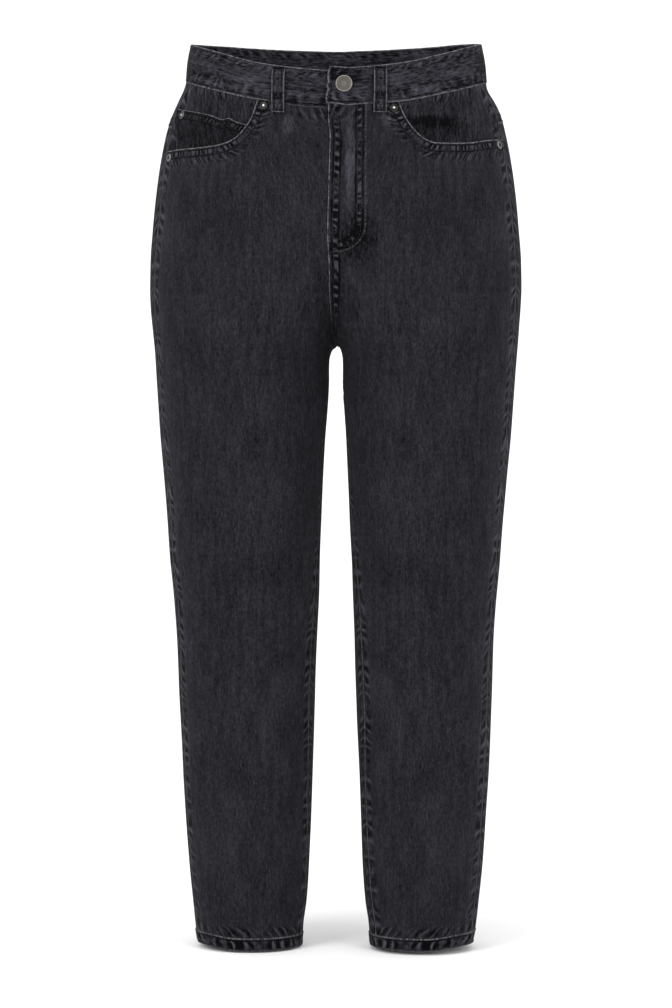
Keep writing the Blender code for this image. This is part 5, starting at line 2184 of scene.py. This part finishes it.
    def add_edge_maps(self) -> None:
        """Maps the distances from the waistband's edges and from the hems."""
        band = self.panels["waistband"]
        arc, drop = band.maps["weave"][..., 0], -band.maps["weave"][..., 1]
        band.maps["edges"] = pair_map(drop, arc)
        band.maps["lower"] = pair_map(BAND_HEIGHT - drop, arc)
        band.maps["ends"] = pair_map(band.maps["ends"][..., 0], drop)
        for name, panel in self.panels.items():
            if name.startswith(("front_", "back_l", "back_r")):
                weave = panel.maps["weave"]
                panel.maps["hem"] = pair_map(weave[..., 0], weave[..., 1] - HEM_Z)

    def cloth(self) -> None:
        """Makes the cloth objects and hides the imported parts that they stand in for."""
        finish = self.finishes()
        for name, panel in self.panels.items():
            kind = self.kind_of(name)
            alike = kind in ("band", "loop", "coin")
            materials = [finish[kind]] if alike else [finish[kind], finish["inside"]]
            edge, segments = (0.0011, 3) if kind == "band" else (0.0004, 2)
            made = panel.build(materials, edge, segments)
            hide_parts(name)
            self.objects[name] = made

    @staticmethod
    def kind_of(name: str) -> str:
        """The finish that a piece takes."""
        kinds = {"waistband": "band", "belt_loop": "loop", "back_pocket": "patch", "pocket_facing": "facing",
                 "coin_pocket": "coin", "fly_shield": "inside", "yoke": "yoke", "back": "back"}
        return next((kind for start, kind in kinds.items() if name.startswith(start)), name)

    def sew(self) -> None:
        """Sews every visible row of stitches."""
        thread = Thread().material("thread")
        self.sew_front(thread)
        self.sew_back(thread)
        self.sew_waist(thread)
        self.sew_hems(thread)

    def seats(self, *names: str) -> Seats:
        """The outer faces of some pieces."""
        return Seats([self.panels[name] for name in names])

    def sew_front(self, thread: bpy.types.Material) -> None:
        """Rows at the pocket mouths, the fly and the coin pocket."""
        for side in Side:
            name = "front_" + side.word
            panel = self.panels[name]
            sewer = Stitcher("stitches_" + name, self.seats(name), thread)
            start = LegPanels(side).first_mouth_column
            edge, normals = panel.points[0, start:], panel.normals[0, start:]
            for distance in TWIN_ROWS:
                sewer.row(*beside(edge, normals, -distance * side))
            if side == Side.LEFT:
                rise = panel.points[:, 0, 2] > CROTCH_Z + 0.012
                sewer.row(*beside(panel.points[rise, 0], panel.normals[rise, 0], RISE_ROW))
                for inset in FLY_INSETS:
                    x, z = fly_curve(inset)
                    sewer.row(*BODY.plain(side, z, BODY.degrees_at_x(z, x, Face.FRONT)))
            sewer.build()
        coin = self.panels["coin_pocket"]
        sewer = Stitcher("stitches_coin_pocket", self.seats("coin_pocket"), thread)
        for distance in TWIN_ROWS:
            sewer.row(*beside(coin.points[0], coin.normals[0], -distance))
        sewer.build()

    def sew_back(self, thread: bpy.types.Material) -> None:
        """Rows at the yokes, the patch pockets and the back rise."""
        for side in Side:
            ending = side.word
            yoke, patch = self.panels["yoke_" + ending], self.panels["back_pocket_" + ending]
            names = ("yoke_" + ending, "back_" + ending, "back_pocket_" + ending)
            sewer = Stitcher("stitches_back_" + ending, self.seats(*names), thread)
            for distance in TWIN_ROWS:
                sewer.row(*beside(yoke.points[-1], yoke.normals[-1], distance * side))
            self.sew_patch(sewer, patch, side)
            back = self.panels["back_" + ending]
            if side == Side.LEFT:
                rise = back.points[:, -1, 2] > CROTCH_Z + 0.02
                for distance in TWIN_ROWS:
                    sewer.row(*beside(back.points[rise, -1], back.normals[rise, -1], -distance))
                    sewer.row(*beside(yoke.points[:, -1], yoke.normals[:, -1], -distance))
            sewer.build()

    @staticmethod
    def sew_patch(sewer: Stitcher, patch: Panel, side: Side) -> None:
        """Two rows round a patch pocket and two across its opening."""
        sides = (
            (patch.points[:, 0], patch.normals[:, 0]),
            (patch.points[-1], patch.normals[-1]),
            (patch.points[::-1, -1], patch.normals[::-1, -1]),
        )
        for distance in TWIN_ROWS:
            for points, normals in sides:
                sewer.row(*beside(points[3:-3], normals[3:-3], distance * side))
        for distance in OPENING_ROWS:
            sewer.row(*beside(patch.points[0, 2:-2], patch.normals[0, 2:-2], -distance * side))

    def sew_waist(self, thread: bpy.types.Material) -> None:
        """Rows along the waistband, the belt loops' edges and tacks, and the buttonhole."""
        band = self.panels["waistband"]
        sewer = Stitcher("stitches_waistband", self.seats("waistband"), thread)
        sewer.row(*beside(band.points[0, :-18], band.normals[0, :-18], -EDGE_ROW))
        sewer.row(*beside(band.points[-1, :-18], band.normals[-1, :-18], EDGE_ROW))
        sewer.row(*beside(band.points[:, 0], band.normals[:, 0], EDGE_ROW))
        self.sew_buttonhole(sewer)
        sewer.build()
        sewer = Stitcher("stitches_belt_loops", self.seats(*[loop.name for loop in LOOPS]), thread)
        for loop in LOOPS:
            panel = self.panels[loop.name]
            for column in (2, -3):
                sewer.row(panel.points[1:-1, column], panel.normals[1:-1, column])
            for row in (3, 4, -5, -4):
                sewer.row(panel.points[row, 1:-1], panel.normals[row, 1:-1], TACK_PITCH, TACK_LENGTH)
        sewer.build()

    @staticmethod
    def sew_buttonhole(sewer: Stitcher) -> None:
        """Close stitches round the slit that the button goes through."""
        for up in (-1, 1):
            for x in np.arange(*BUTTONHOLE_X, BUTTONHOLE_PITCH):
                z = BUTTON_Z + up * np.array(BUTTONHOLE_EDGES)
                turn = BODY.degrees_at_x(z, x, Face.FRONT)
                sewer.row(*BODY.plain(Side.LEFT, z, turn), *BUTTONHOLE_STITCH)

    def sew_hems(self, thread: bpy.types.Material) -> None:
        """One row round each hem."""
        for side in Side:
            ending = side.word
            names = ("front_" + ending, "back_" + ending)
            sewer = Stitcher("stitches_hem_" + ending, self.seats(*names), thread)
            for name in names:
                panel = self.panels[name]
                row = int(np.abs(panel.maps["weave"][:, 0, 1] - (HEM_Z + HEM_ROW)).argmin())
                sewer.row(panel.points[row], panel.normals[row])
            sewer.build()

    def fasten(self) -> None:
        """Makes the button and the rivets."""
        dark, bright = (0.030, 0.029, 0.027), (0.62, 0.61, 0.60)
        nailed = AgedMetal(bright, dark, (0.10, 0.10, 0.095), 0.30, 0.92, 0.30)
        ringed = AgedMetal(dark, (0.16, 0.155, 0.15), (0.20, 0.195, 0.19), 0.46, 0.80, 0.40)
        nub = (0.34, 0.33, 0.32)
        worn_nub = AgedMetal(nub, (0.035, 0.034, 0.032), (0.11, 0.108, 0.105), 0.36, 0.70, 0.36)
        finishes = {
            "button": AgedMetal().material("nickel_button"),
            "top": nailed.material("nickel_top_rivets"),
            "side": ringed.material("nickel_side_rivets"),
            "coin": worn_nub.material("nickel_coin_rivet"),
        }
        metal = Fasteners(finishes)
        metal.button(self.seats("waistband"))
        for rivet in RIVETS:
            metal.rivet(rivet, self.seats(rivet.on))

    def build(self) -> None:
        """Makes everything in order."""
        self.lay()
        self.add_edge_maps()
        self.cloth()
        self.sew()
        self.fasten()


def main() -> None:
    """Builds the studio and the jeans."""
    logging.basicConfig(level=logging.INFO, format="%(name)s: %(message)s")
    Studio().build()
    Jeans().build()


if __name__ == "__main__":
    main()
